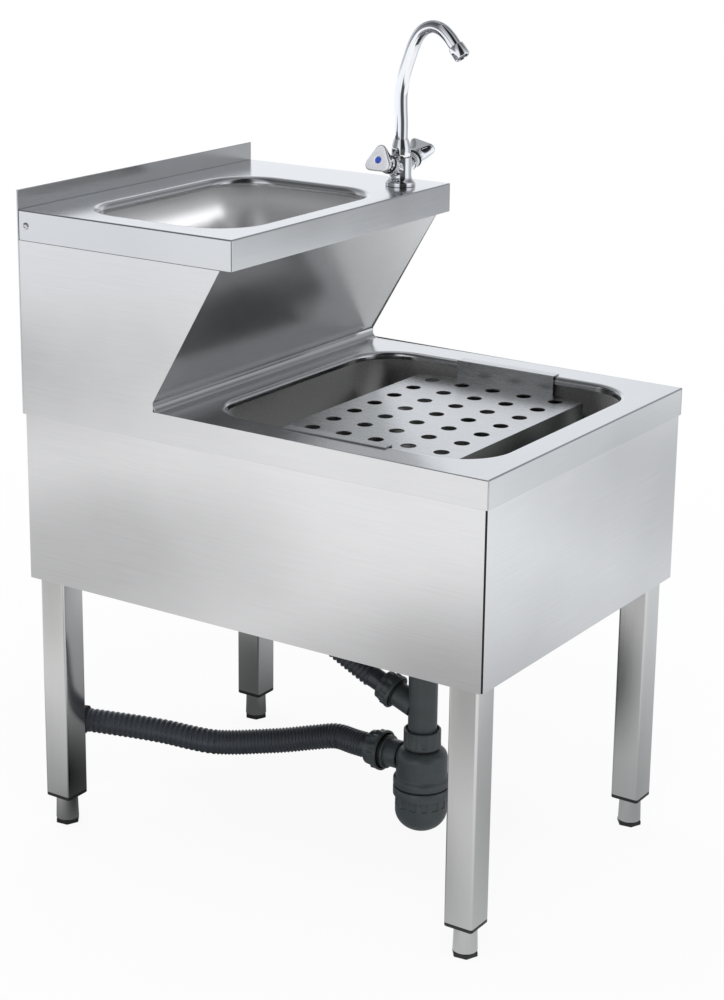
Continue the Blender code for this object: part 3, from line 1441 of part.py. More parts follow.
def make_valve(name, side, colour):
    """A bonnet on the body's port, and a three-cornered handle with a coloured button in its face."""
    direction = valve_direction(side)
    centre = valve_place()
    bonnet_start = PORT_REACH + GAP
    seal_start = BONNET_END + GAP
    handle_start = seal_start + HANDLE_SEAL_LENGTH + GAP
    spindle_hole = SPINDLE_RADIUS + SPINDLE_CLEARANCE
    bonnet = turned(
        f"{name}_valve",
        [
            (0, SPINDLE_REACH),
            (SPINDLE_RADIUS, SPINDLE_REACH),
            (SPINDLE_RADIUS, BONNET_END),
            (BONNET_RADIUS, BONNET_END),
            (BONNET_RADIUS, bonnet_start),
            (0, bonnet_start),
        ],
        CHROME,
        False,
        FINE_TURN_STEPS,
    )
    aim(bonnet, centre, direction)
    washer(
        f"{name}_handle_seal",
        HANDLE_SEAL_RADIUS,
        spindle_hole,
        HANDLE_SEAL_LENGTH,
        centre + direction * seal_start,
        direction,
    )
    bore_end = SPINDLE_REACH - handle_start + GAP
    recess = INDEX_RADIUS + GAP
    recess_floor = HANDLE_LENGTH - INDEX_RECESS
    sizes = [(0, 0, bore_end), (spindle_hole, spindle_hole, bore_end), (spindle_hole, spindle_hole, 0)]
    sizes.append((HANDLE_STEM_RADIUS, HANDLE_STEM_RADIUS, 0))
    for height_share, reach_share, waist_share in HANDLE_RING_SHARES:
        sizes.append((HANDLE_REACH * reach_share, HANDLE_WAIST * waist_share, HANDLE_LENGTH * height_share))
    sizes += [(recess, recess, HANDLE_LENGTH), (recess, recess, recess_floor), (0, 0, recess_floor)]
    rings = [handle_ring(reach, waist, height, HANDLE_REST_TURNS[name]) for reach, waist, height in sizes]
    handle = loft(f"{name}_handle", rings, CHROME)
    aim(handle, centre + direction * handle_start, direction)
    button = turned(
        f"{name}_index",
        [
            (0, INDEX_HEIGHT),
            (INDEX_RADIUS - INDEX_HEIGHT / 2, INDEX_HEIGHT),
            (INDEX_RADIUS, INDEX_HEIGHT / 2),
            (INDEX_RADIUS, 0),
            (0, 0),
        ],
        colour,
        False,
    )
    button_start = handle_start + HANDLE_LENGTH - INDEX_RECESS + GAP
    aim(button, centre + direction * button_start, direction)


def make_tap():
    make_tap_body()
    make_tap_inlets()
    make_spout()
    make_valve("cold", -1, BLUE)
    make_valve("hot", 1, RED)


for old_object in list(bpy.data.objects):
    bpy.data.objects.remove(old_object, do_unlink=True)

PARTS = make_collection("hand_wash_sink")
CUTTERS = make_collection("cutters")
STEEL = make_material("brushed_steel", (0.62, 0.63, 0.64), 1.0, 0.32)
APRON_STEEL = make_material("apron_steel", (0.66, 0.66, 0.67), 1.0, 0.36)
PANEL_STEEL = make_material("panel_steel", (0.55, 0.56, 0.57), 1.0, 0.22)
BOWL_STEEL = make_material("bowl_steel", (0.68, 0.69, 0.70), 1.0, 0.20)
GRATE_STEEL = make_material("grate_steel", (0.64, 0.65, 0.66), 1.0, 0.34)
LEG_STEEL = make_material("leg_steel", (0.60, 0.60, 0.61), 1.0, 0.38)
BRIGHT_STEEL = make_material("bright_steel", (0.72, 0.72, 0.73), 1.0, 0.18)
CHROME = make_material("chrome", (0.80, 0.81, 0.83), 1.0, 0.06)
BRASS = make_material("brass", (0.72, 0.53, 0.27), 1.0, 0.35)
BLACK_PLASTIC = make_material("black_plastic", (0.015, 0.015, 0.017), 0.0, 0.45)
GREY_PLASTIC = make_material("grey_plastic", (0.085, 0.095, 0.105), 0.0, 0.42)
HOSE_PLASTIC = make_material("hose_plastic", (0.060, 0.066, 0.074), 0.0, 0.40)
RUBBER = make_material("rubber", (0.012, 0.012, 0.013), 0.0, 0.60)
BLUE = make_material("blue_index", (0.06, 0.10, 0.45), 0.0, 0.30)
RED = make_material("red_index", (0.50, 0.03, 0.03), 0.0, 0.30)

make_lower_worktop()
make_bucket_basin()
make_upper_worktop()
make_hand_basin()
make_side_sheets()
make_riser_front_panel()
make_back_panels()
make_aprons()
make_lip_screw()
make_underframe()
make_grate()
make_wastes()
make_trap()
make_drain_hose()
make_tap()
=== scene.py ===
"""Looks of the hand wash sink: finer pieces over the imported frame, procedural finishes, a pale studio and
the camera at the photograph's angle. Metres, +Z up, the front faces -Y.
"""

import json
import math

import bmesh
import bpy
from mathutils import Matrix, Vector


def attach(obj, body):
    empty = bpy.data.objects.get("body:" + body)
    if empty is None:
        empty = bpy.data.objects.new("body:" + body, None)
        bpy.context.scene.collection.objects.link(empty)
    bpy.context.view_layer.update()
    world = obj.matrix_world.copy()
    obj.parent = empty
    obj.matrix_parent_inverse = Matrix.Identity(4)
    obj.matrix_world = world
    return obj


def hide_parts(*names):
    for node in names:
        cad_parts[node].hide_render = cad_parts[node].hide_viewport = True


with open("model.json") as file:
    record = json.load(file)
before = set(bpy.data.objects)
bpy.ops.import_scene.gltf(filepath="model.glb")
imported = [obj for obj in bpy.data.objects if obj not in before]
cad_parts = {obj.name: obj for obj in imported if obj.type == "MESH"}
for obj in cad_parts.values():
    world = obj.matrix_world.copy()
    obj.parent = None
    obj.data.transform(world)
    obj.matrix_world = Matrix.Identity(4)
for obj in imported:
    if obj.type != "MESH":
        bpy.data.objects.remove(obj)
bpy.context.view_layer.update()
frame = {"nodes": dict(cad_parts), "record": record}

RECORD = frame["record"]
BODY = {node: name for name, nodes in RECORD["behaviour"]["bodies"].items() for node in nodes}
SLOT = {row["node"]: row["material_slot"] for row in RECORD["subparts"]}
MERGE = 0.000001
GAP = 0.0003
CORNER_STEPS = 20
UP = Vector((0, 0, 1))
BACK = Vector((0, 1, 0))

# Camera, fitted to the unit's corners, with a small shift so that other views stay in the frame.
# Its yaw is the turn from +Y towards +X.
CAMERA_PLACE = Vector((-2.3324, -1.5476, 1.3647))
CAMERA_YAW = math.radians(55.8)
CAMERA_PITCH = math.radians(-15.529)
CAMERA_ROLL = math.radians(0.445)
CAMERA_LENS = 80.17
CAMERA_SHIFT = (0.0327, -0.0906)


def link_object(name, data):
    obj = bpy.data.objects.new(name, data)
    bpy.context.scene.collection.objects.link(obj)
    return obj


def make_camera():
    data = bpy.data.cameras.new("camera")
    data.lens = CAMERA_LENS
    data.sensor_width = 36.0
    data.shift_x, data.shift_y = CAMERA_SHIFT
    data.clip_start = 0.05
    data.clip_end = 100.0
    camera = link_object("camera", data)
    place = Matrix.Translation(CAMERA_PLACE)
    for angle, axis in ((-CAMERA_YAW, "Z"), (math.pi / 2 + CAMERA_PITCH, "X"), (CAMERA_ROLL, "Z")):
        place @= Matrix.Rotation(angle, 4, axis)
    camera.matrix_world = place
    bpy.context.scene.camera = camera


make_camera()


# Finishes


def set_inputs(tree, node, inputs):
    """Sets a node's inputs by name, or links them where a socket is given."""
    for key, value in dict(inputs).items():
        if isinstance(value, bpy.types.NodeSocket):
            tree.links.new(value, node.inputs[key])
        else:
            node.inputs[key].default_value = value


def add_node(tree, kind, inputs=(), **settings):
    made = tree.nodes.new("ShaderNode" + kind)
    for key, value in settings.items():
        setattr(made, key, value)
    set_inputs(tree, made, inputs)
    return made


def math_node(tree, operation, *values):
    return add_node(tree, "Math", dict(enumerate(values)), operation=operation).outputs[0]


def start_material(name):
    material = bpy.data.materials.new(name)
    material.use_nodes = True
    tree = material.node_tree
    shader = tree.nodes["Principled BSDF"]
    place = add_node(tree, "TexCoord").outputs["Object"]
    return material, tree, shader, place


def noise(tree, place, scale, detail, stretch=(1, 1, 1)):
    """Noise from 0 to 1 in metres, stretched where stretch is below 1."""
    mapped = add_node(tree, "Mapping", {"Vector": place, "Scale": stretch}).outputs["Vector"]
    inputs = {"Vector": mapped, "Scale": scale, "Detail": detail}
    return add_node(tree, "TexNoise", inputs).outputs["Fac"]


def remap(tree, value, low, high, to_low=0.0, to_high=1.0):
    inputs = {"Value": value, "From Min": low, "From Max": high, "To Min": to_low, "To Max": to_high}
    return add_node(tree, "MapRange", inputs).outputs["Result"]


def blend_colours(tree, share, first, second, blend_type="MIX"):
    """A mix of two colours, each a socket or its red, green and blue."""
    first, second = (c if isinstance(c, bpy.types.NodeSocket) else (*c, 1) for c in (first, second))
    inputs = {"Factor": share, "A": first, "B": second}
    return add_node(tree, "Mix", inputs, data_type="RGBA", blend_type=blend_type).outputs["Result"]


def mix_shaders(tree, share, first, second):
    return add_node(tree, "MixShader", {0: share, 1: first, 2: second}).outputs[0]


def raise_surface(tree, shader, heights):
    """Bumps one on the other, each from a height, its depth in metres and a strength."""
    normal = None
    for height, depth, strength in heights:
        inputs = {"Height": height, "Distance": depth, "Strength": strength}
        if normal is not None:
            inputs["Normal"] = normal
        normal = add_node(tree, "Bump", inputs).outputs["Normal"]
    set_inputs(tree, shader, {"Normal": normal})


def shade(colour, factor):
    return tuple(min(channel * factor, 1.0) for channel in colour)


def brushed_steel(name, colour, roughness, along, wave, streak, haze=0.0):
    """Satin sheet: hair-fine brush marks along the named axes, a cloudy tone and a slightly wavy sheet."""
    material, tree, shader, place = start_material(name)
    across = tuple(0.02 if axis in along else 1.0 for axis in "xyz")
    marks = noise(tree, place, 1500.0, 2.0, across)
    broad = noise(tree, place, 420.0, 2.0, across)
    clouds = noise(tree, place, 5.0, 2.0)
    tone = math_node(tree, "ADD", math_node(tree, "MULTIPLY", broad, 0.35), clouds)
    share = remap(tree, tone, 0.45, 0.9)
    cloudy = blend_colours(tree, share, shade(colour, 0.955), shade(colour, 1.045))
    rough = remap(tree, math_node(tree, "ADD", marks, clouds), 0.7, 1.3, roughness - 0.03, roughness + 0.04)
    set_inputs(tree, shader, {"Base Color": cloudy, "Metallic": 1.0 - haze, "Roughness": rough})
    bumps = [(noise(tree, place, 3.0, 1.0), wave, 1.0), (marks, 0.00004, streak), (broad, 0.00005, streak)]
    raise_surface(tree, shader, bumps)
    return material


def chrome_plate(name, colour, roughness):
    material, tree, shader, place = start_material(name)
    haze = noise(tree, place, 120.0, 3.0)
    cloudy = blend_colours(tree, haze, shade(colour, 0.95), colour)
    rough = remap(tree, haze, 0.3, 0.7, roughness * 0.7, roughness * 1.4)
    set_inputs(tree, shader, {"Base Color": cloudy, "Metallic": 1.0, "Roughness": rough})
    raise_surface(tree, shader, [(noise(tree, place, 60.0, 1.0), 0.0001, 0.3)])
    return material


def plastic(name, colour, roughness, grain=0.00005, metallic=0.0, spread=0.1):
    """Moulded plastic or rubber: a faint grain, and tone and gloss that vary a little."""
    material, tree, shader, place = start_material(name)
    clouds = noise(tree, place, 45.0, 3.0)
    share = remap(tree, clouds, 0.3, 0.7)
    cloudy = blend_colours(tree, share, shade(colour, 1 - spread), shade(colour, 1 + spread))
    rough = remap(tree, clouds, 0.3, 0.7, roughness - 0.04, roughness + 0.05)
    set_inputs(tree, shader, {"Base Color": cloudy, "Metallic": metallic, "Roughness": rough})
    raise_surface(tree, shader, [(noise(tree, place, 1800.0, 2.0), grain, 0.5)])
    return material


FINISH = {
    "steel": brushed_steel("top_sheet_finish", (0.64, 0.645, 0.655), 0.17, "x", 0.001, 0.03),
    "apron_steel": brushed_steel("apron_finish", (0.7, 0.7, 0.71), 0.15, "xy", 0.0014, 0.02),
    "panel_steel": brushed_steel("panel_finish", (0.7, 0.7, 0.705), 0.2, "x", 0.0008, 0.012, 0.14),
    "bowl_steel": brushed_steel("bowl_finish", (0.62, 0.62, 0.625), 0.38, "", 0.0004, 0.03, 0.2),
    "grate_steel": brushed_steel("grate_finish", (0.65, 0.66, 0.67), 0.27, "y", 0.0003, 0.03),
    "leg_steel": brushed_steel("leg_finish", (0.66, 0.66, 0.655), 0.15, "z", 0.0003, 0.06),
    "bright_steel": brushed_steel("bright_finish", (0.72, 0.72, 0.73), 0.15, "", 0.0002, 0.03),
    "chrome": chrome_plate("chrome_finish", (0.86, 0.87, 0.89), 0.05),
    "brass": plastic("brass_finish", (0.72, 0.53, 0.27), 0.34, 0.00003, 1.0, 0.06),
    "black_plastic": plastic("black_plastic_finish", (0.014, 0.014, 0.016), 0.42),
    "grey_plastic": plastic("grey_plastic_finish", (0.05, 0.061, 0.065), 0.36),
    "hose_plastic": plastic("hose_plastic_finish", (0.036, 0.041, 0.05), 0.3),
    "rubber": plastic("rubber_finish", (0.01, 0.01, 0.011), 0.55),
    "blue_index": plastic("blue_index_finish", (0.03, 0.07, 0.42), 0.25, 0.00001),
    "red_index": plastic("red_index_finish", (0.48, 0.02, 0.02), 0.25, 0.00001),
}
STEEL_SIDES = brushed_steel("side_sheet_finish", (0.68, 0.68, 0.69), 0.17, "y", 0.0014, 0.03)
# The bucket basin's steel: the bowl steel at about half its brightness, painted shade for the deep bowl
SHADED_BUCKET_STEEL = brushed_steel("bucket_bowl_painted_shade_finish", (0.32, 0.315, 0.3), 0.26, "", 0.0004, 0.03)
HANDLE_FACE = brushed_steel("handle_face_finish", (0.92, 0.92, 0.96), 0.3, "", 0.0001, 0.02, 0.55)

for node, cad_object in frame["nodes"].items():
    finish = STEEL_SIDES if node.endswith("side_sheet") else FINISH[SLOT[node]]
    if not cad_object.material_slots:
        cad_object.data.materials.append(finish)
    for material_slot in cad_object.material_slots:
        material_slot.material = finish


# Mesh tools


def ring_round(width, length, radius, z, centre=(0.0, 0.0), steps=CORNER_STEPS):
    """Points round a rectangle with round corners, anticlockwise from above."""
    ring = []
    for quarter, (side_x, side_y) in enumerate(((1, 1), (-1, 1), (-1, -1), (1, -1))):
        corner_x = centre[0] + side_x * (width / 2 - radius)
        corner_y = centre[1] + side_y * (length / 2 - radius)
        for step in range(steps + 1):
            angle = math.pi / 2 * (quarter + step / steps)
            x = corner_x + radius * math.cos(angle)
            ring.append(Vector((x, corner_y + radius * math.sin(angle), z)))
    return ring


def arc(centre, radius, start, end, steps):
    angles = [math.radians(start + (end - start) * step / steps) for step in range(steps + 1)]
    return [(centre[0] + radius * math.cos(a), centre[1] + radius * math.sin(a)) for a in angles]


def loft(bm, rings, round_trip=True, closed=False):
    """Faces through rings of points. Rings that run down the inside of a bowl face into it."""
    rows = [[bm.verts.new(point) for point in ring] for ring in rings]
    pairs = list(zip(rows, rows[1:]))
    if closed:
        pairs.append((rows[-1], rows[0]))
    for row, next_row in pairs:
        for index in range(len(row) if round_trip else len(row) - 1):
            after = (index + 1) % len(row)
            bm.faces.new((row[index], row[after], next_row[after], next_row[index]))


def turned_rings(profile, steps, shape=None):
    """Rings for (radius, height) points. shape(angle, radius, height) may change a radius."""
    angles = [2 * math.pi * step / steps for step in range(steps)]
    rings = []
    for radius, height in profile:
        radii = [shape(angle, radius, height) if shape else radius for angle in angles]
        rings.append([Vector((r * math.cos(a), r * math.sin(a), height)) for r, a in zip(radii, angles)])
    return rings


def aimed(place, direction):
    return Matrix.Translation(place) @ Vector(direction).to_track_quat("Z", "Y").to_matrix().to_4x4()


def round_edges(obj, width, segments):
    """A small round on every sharp edge, shaded so that flat faces stay flat."""
    bevel = obj.modifiers.new("Edges", "BEVEL")
    bevel.width = width
    bevel.segments = segments
    bevel.limit_method = "ANGLE"
    bevel.angle_limit = math.radians(32)
    flatten = obj.modifiers.new("Shading", "WEIGHTED_NORMAL")
    flatten.keep_sharp = True
    flatten.weight = 90


def thicken(obj, thickness):
    solid = obj.modifiers.new("Thickness", "SOLIDIFY")
    solid.thickness = thickness
    solid.offset = -1
    solid.use_even_offset = True
    solid.use_quality_normals = True


def object_from(name, bm):
    mesh = bpy.data.meshes.new(name)
    bm.to_mesh(mesh)
    bm.free()
    return link_object(name, mesh)


def finish_piece(
    name, bm, nodes, transform=None, outward=True, edges=0.0, segments=2, sheet=0.0, finish=None, sharp=40
):
    """A piece that stands for CAD nodes: it rides on their body and takes their slot and finish."""
    if transform is not None:
        bmesh.ops.transform(bm, matrix=transform, verts=bm.verts)
    bmesh.ops.remove_doubles(bm, verts=bm.verts, dist=MERGE)
    bmesh.ops.dissolve_degenerate(bm, edges=bm.edges, dist=MERGE)
    if outward:
        bmesh.ops.recalc_face_normals(bm, faces=bm.faces)
    obj = object_from(name, bm)
    obj.data.shade_smooth()
    obj.data.set_sharp_from_angle(angle=math.radians(sharp))
    obj.data.materials.append(finish or FINISH[SLOT[nodes[0]]])
    if sheet:
        thicken(obj, sheet)
    if edges:
        round_edges(obj, edges, segments)
    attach(obj, BODY[nodes[0]])
    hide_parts(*nodes)
    return obj


def turned_piece(name, node, profile, place, direction=UP, steps=48, edges=0.0, shape=None, finish=None):
    """A turned piece. A profile that starts on the axis ends on it, and any other closes into a ring."""
    bm = bmesh.new()
    loft(bm, turned_rings(profile, steps, shape), closed=profile[0][0] > 0)
    return finish_piece(name, bm, [node], aimed(place, direction), edges=edges, finish=finish)


def smooth_route(points, steps):
    """Points on one smooth curve through the given points."""
    points = [Vector(point) for point in points]
    ends = [2 * points[0] - points[1], *points, 2 * points[-1] - points[-2]]
    route = []
    for before, start, end, after in zip(ends, ends[1:], ends[2:], ends[3:]):
        for step in range(steps):
            t = step / steps
            first = 2 * start + (end - before) * t
            second = (2 * before - 5 * start + 4 * end - after) * t**2
            route.append((first + second + (3 * start - before - 3 * end + after) * t**3) / 2)
    route.append(points[-1])
    return route


def route_length(route):
    return sum((b - a).length for a, b in zip(route, route[1:]))


def along_route(route, distances):
    steps = [b - a for a, b in zip(route, route[1:])]
    places, travelled, index = [], 0.0, 0
    for distance in distances:
        while index < len(steps) - 1 and travelled + steps[index].length < distance:
            travelled += steps[index].length
            index += 1
        places.append(route[index] + steps[index] * ((distance - travelled) / steps[index].length))
    return places


def tube_rings(places, radii, sides):
    """Circles square to a route, turned as little as possible from one to the next."""
    angles = [2 * math.pi * step / sides for step in range(sides)]
    rings = []
    side = None
    for index, (place, radius) in enumerate(zip(places, radii)):
        before = places[max(index - 1, 0)]
        after = places[min(index + 1, len(places) - 1)]
        ahead = after - before
        if ahead.length < MERGE:
            ahead = places[min(index + 2, len(places) - 1)] - places[max(index - 2, 0)]
        ahead.normalize()
        side = side or ahead.orthogonal()
        side = side - ahead * side.dot(ahead)
        side.normalize()
        other = ahead.cross(side)
        rings.append([place + (side * math.cos(a) + other * math.sin(a)) * radius for a in angles])
    return rings


# Cords come first: the drain hose, from the trap to its wall connector

TRAP_Y = -0.116
HOSE_START = Vector((0.0, -0.0477, 0.12))
HOSE_STRAIGHT_END = Vector((0.0, -0.01, 0.12))
HOSE_ROUTE = [
    (0, 0.02, 0.121), (-0.011, 0.046, 0.117), (-0.035, 0.079, 0.113), (-0.056, 0.108, 0.111),
    (-0.077, 0.136, 0.11), (-0.093, 0.162, 0.1102), (-0.103, 0.193, 0.112), (-0.112, 0.229, 0.1145),
    (-0.126, 0.268, 0.117), (-0.141, 0.306, 0.119), (-0.152, 0.336, 0.12),
]

# One rib of a hose: shares of its pitch, and of its height
RIB_SHAPE = [
    (0.07, 0.2), (0.17, 0.66), (0.29, 0.94), (0.4, 1), (0.51, 0.94), (0.63, 0.66), (0.73, 0.2), (0.9, 0)
]
HOSE_SIDES = 28


def make_hose(name, node, route, collar, cuff, cuff_end, groups, crests, depth, bore, plain_end):
    """A corrugated hose with a flanged cuff and ribs in groups of (count, pitch), and its centres."""
    total = route_length(route)
    stations = [(0.0, collar), (collar * 0.16, collar), (collar * 0.165, cuff), (cuff_end - GAP, cuff)]
    ribs_end = cuff_end + sum(count * pitch for count, pitch in groups)
    start = cuff_end
    for count, pitch in groups:
        for _ in range(count):
            for share, height in RIB_SHAPE:
                distance = start + share * pitch
                done = (distance - cuff_end) / (ribs_end - cuff_end)
                crest = crests[0] + (crests[1] - crests[0]) * done
                stations.append((distance, crest - depth * (1 - height)))
            start += pitch
    stations += [(ribs_end, cuff), (total, cuff)] if plain_end else [(total, crests[1] - depth)]
    centres = along_route(route, [distance for distance, _ in stations])
    outer = tube_rings(centres, [radius for _, radius in stations], HOSE_SIDES)
    inner = tube_rings(centres, [bore] * len(centres), HOSE_SIDES)
    bm = bmesh.new()
    loft(bm, outer + inner[::-1], closed=True)
    return finish_piece(name, bm, [node], sharp=50), centres


drain_curve = smooth_route([HOSE_START, HOSE_STRAIGHT_END, *HOSE_ROUTE], 8)
drain_total = route_length(drain_curve)
TIGHT_RIBS, TIGHT_PITCH, LOOSE_RIBS = 45, 0.0047, 25
DRAIN_CUFF = 0.0222
loose_pitch = (drain_total - DRAIN_CUFF - TIGHT_RIBS * TIGHT_PITCH - GAP) / LOOSE_RIBS
drain_hose, drain_centres = make_hose(
    "drain_hose_ribbed", "drain_hose", drain_curve, collar=0.0182, cuff=0.016, cuff_end=DRAIN_CUFF,
    groups=[(TIGHT_RIBS, TIGHT_PITCH), (LOOSE_RIBS, loose_pitch)], crests=(0.0175, 0.0165), depth=0.0013,
    bore=0.0115, plain_end=False,
)

wall_direction = (drain_curve[-1] - drain_curve[-2]).normalized()
connector_profile = [
    (0.0115, 0.038), (0.0145, 0.038), (0.0165, 0.016), (0.0165, 0.013), (0.0195, 0.012), (0.0195, 0.009),
    (0.0188, 0.0082), (0.0188, 0.0066), (0.0195, 0.0058), (0.0195, 0), (0.0115, 0),
]
wall_place = drain_curve[-1] + wall_direction * GAP
wall_connector = turned_piece(
    "drain_wall_connector", "drain_connector", connector_profile, wall_place, wall_direction, edges=0.0005
)

# Branch hose, up behind the bucket basin

BRANCH_SLOPE = math.radians(20.8)
BRANCH_WAY = Vector((0, math.cos(BRANCH_SLOPE), math.sin(BRANCH_SLOPE)))
BRANCH_AXIS = Vector((0.0, TRAP_Y, 0.192))
HAND_WASTE = (-0.035, 0.165, 0.7)
BUCKET_WASTE = (0.0, TRAP_Y, 0.367)
SPIGOT_END = 0.6507
BRANCH_START = 0.0543
BRANCH_CUFF = 0.0307
BRANCH_RIBS, BRANCH_PITCH, HIDDEN_RIBS = 10, 0.0068, 28
BRANCH_PLAIN_END = 0.0225

# Places on the branch hose, as shares of its way along each axis
BRANCH_SHARES = [
    (0.06, 0.33, 0.09), (0.26, 0.56, 0.17), (0.57, 0.77, 0.3), (0.86, 0.92, 0.49), (0.98, 0.99, 0.72),
]


def make_branch_hose():
    start = BRANCH_AXIS + BRANCH_WAY * BRANCH_START
    straight_end = start + BRANCH_WAY * BRANCH_CUFF
    top = Vector((*HAND_WASTE[:2], SPIGOT_END - GAP))
    below = top - UP * 0.0545
    way = below - straight_end
    middle = [straight_end + Vector((a * way.x, b * way.y, c * way.z)) for a, b, c in BRANCH_SHARES]
    route = smooth_route([start, straight_end, *middle, below, top], 8)
    hidden = route_length(route) - BRANCH_CUFF - BRANCH_RIBS * BRANCH_PITCH - BRANCH_PLAIN_END
    make_hose(
        "branch_hose_ribbed", "branch_hose", route, collar=0.0163, cuff=0.014, cuff_end=BRANCH_CUFF,
        groups=[(BRANCH_RIBS, BRANCH_PITCH), (HIDDEN_RIBS, hidden / HIDDEN_RIBS)], crests=(0.016, 0.016),
        depth=0.0024, bore=0.0105, plain_end=True,
    )


make_branch_hose()

# Sheet metal

HALF_WIDTH = 0.25
FRONT_Y = -0.35
INSIDE_X = 0.2486
TOP = 0.617
SHELF_TOP = 0.85
LIP_BOTTOM = 0.581
SHELF_LIP_BOTTOM = 0.811
SHEET = 0.0015
BOWL_WALL = 0.0012
BEND = 0.002
BUCKET_Y = -0.11
BACK_Y = 0.35
BACK_INSIDE_Y = 0.3473
UPSTAND_TOP = 0.875
SHELF_FRONT_Y = 0.01
SHELF_FOLD_Y = 0.0275
RISER_FOOT_Y = 0.133
UPTURN = 0.013
LIP_SEAM = 0.0006
SKIRT_X = 0.2482
SKIRT_FRONT_Y = -0.3482
SKIRT_BOTTOM = 0.356
SKIRT_TOP = 0.6152
SKIRT_BEND = 0.003
CORNER_GROOVE = 0.0022

# Each basin's mouth: centre, width, length and corner radius
BUCKET_MOUTH = ((0.0, BUCKET_Y), 0.4, 0.4, 0.065)
HAND_MOUTH = (HAND_WASTE[:2], 0.34, 0.24, 0.065)


def bowl_rings(centre, width, length, corner, waste, top, floor, draft, curve_width, curve_height, fall):
    """Down a bowl's wall, round its foot, and over the sloping floor to the waste."""
    sizes = [(0.0, top)]
    for across, up in arc((0.0, 0.0), 1.0, 180, 270, 14):
        sizes.append((draft + curve_width * (1 + across), floor + fall + curve_height * (1 + up)))
    rings = []
    for inset, height in sizes:
        radius = corner * (1 - 2 * inset / min(width, length))
        rings.append(ring_round(width - 2 * inset, length - 2 * inset, radius, height, centre))
    for radius in (0.036, 0.027):
        rings.append(ring_round(2 * radius, 2 * radius, radius, floor, waste))
    return rings


def rim_rings(centre, width, length, corner, rim, drop, top):
    """A narrow flat border, then the edge that rolls down into the opening."""
    outer = rim + 0.0015
    rings = [ring_round(width + 2 * outer, length + 2 * outer, corner + outer, top, centre)]
    for outset, height in arc((rim, top - rim), rim, 90, 180, 8):
        rings.append(ring_round(width + 2 * outset, length + 2 * outset, corner + outset, height, centre))
    rings.append(ring_round(width, length, corner, top - drop, centre))
    return rings


def lies_at(part, axis, value):
    """Whether all corners of an edge or a face have this coordinate."""
    return all(abs(vert.co[axis] - value) < MERGE for vert in part.verts)


def face_up(bm, level):
    """Turns a sheet's faces so that its largest level face at this height looks up."""
    bmesh.ops.remove_doubles(bm, verts=bm.verts, dist=MERGE)
    bmesh.ops.recalc_face_normals(bm, faces=bm.faces)
    flat = [face for face in bm.faces if lies_at(face, 2, level)]
    if max(flat, key=lambda face: face.calc_area()).normal.z < 0:
        bmesh.ops.reverse_faces(bm, faces=bm.faces)


def strip(bm, rows, halves):
    """A folded strip across the unit through (y, z) points, with its half width at each."""
    rings = [[Vector((-half, y, z)), Vector((half, y, z))] for (y, z), half in zip(rows, halves)]
    loft(bm, rings, round_trip=False)


def make_lower_worktop():
    front, back = FRONT_Y + BEND, RISER_FOOT_Y - 0.01
    bm = bmesh.new()
    middle = (0.0, (front + back) / 2)
    rings = [ring_round(2 * INSIDE_X, back - front, 0.0, TOP, middle)]
    rings += rim_rings(*BUCKET_MOUTH, 0.006, 0.01, TOP)
    loft(bm, rings)
    lip = arc((front, TOP - BEND), BEND, 90, 180, 5) + [(FRONT_Y, LIP_BOTTOM)]
    strip(bm, lip, [INSIDE_X] + [INSIDE_X - LIP_SEAM] * (len(lip) - 1))
    upturn = arc((back, TOP + 0.01), 0.01, 270, 360, 8) + [(RISER_FOOT_Y, TOP + UPTURN)]
    strip(bm, upturn, [INSIDE_X] * len(upturn))
    face_up(bm, TOP)
    finish_piece("lower_worktop_sheet", bm, ["lower_worktop"], outward=False, sheet=SHEET, edges=0.0004)


def make_upper_worktop():
    length = BACK_INSIDE_Y - SHELF_FRONT_Y
    middle = (0.0, SHELF_FRONT_Y + length / 2)
    bm = bmesh.new()
    width = 2 * HALF_WIDTH
    rings = [ring_round(width, length, BEND, SHELF_LIP_BOTTOM, middle)]
    for inset, height in arc((BEND, SHELF_TOP - BEND), BEND, 180, 90, 5):
        radius = max(BEND - inset, 0.0)
        rings.append(ring_round(width - 2 * inset, length - 2 * inset, radius, height, middle))
    rings += rim_rings(*HAND_MOUTH, 0.009, 0.012, SHELF_TOP)
    loft(bm, rings)
    face_up(bm, SHELF_TOP)
    finish_piece("upper_worktop_sheet", bm, ["upper_worktop"], outward=False, sheet=SHEET, edges=0.0004)


def make_bowls():
    bucket = (*BUCKET_MOUTH, BUCKET_WASTE[:2], TOP - 0.01, BUCKET_WASTE[2], 0.008, 0.045, 0.045, 0.004)
    hand = (*HAND_MOUTH, HAND_WASTE[:2], SHELF_TOP - 0.012, HAND_WASTE[2], 0.024, 0.055, 0.075, 0.003)
    # The bucket basin takes the darker steel, painted shade for its deep bowl
    basins = (("bucket_basin", bucket, SHADED_BUCKET_STEEL), ("hand_basin", hand, FINISH["bowl_steel"]))
    for basin, sizes, steel in basins:
        bm = bmesh.new()
        loft(bm, bowl_rings(*sizes))
        finish_piece(f"{basin}_bowl", bm, [basin], outward=False, sheet=BOWL_WALL, finish=steel, sharp=60)


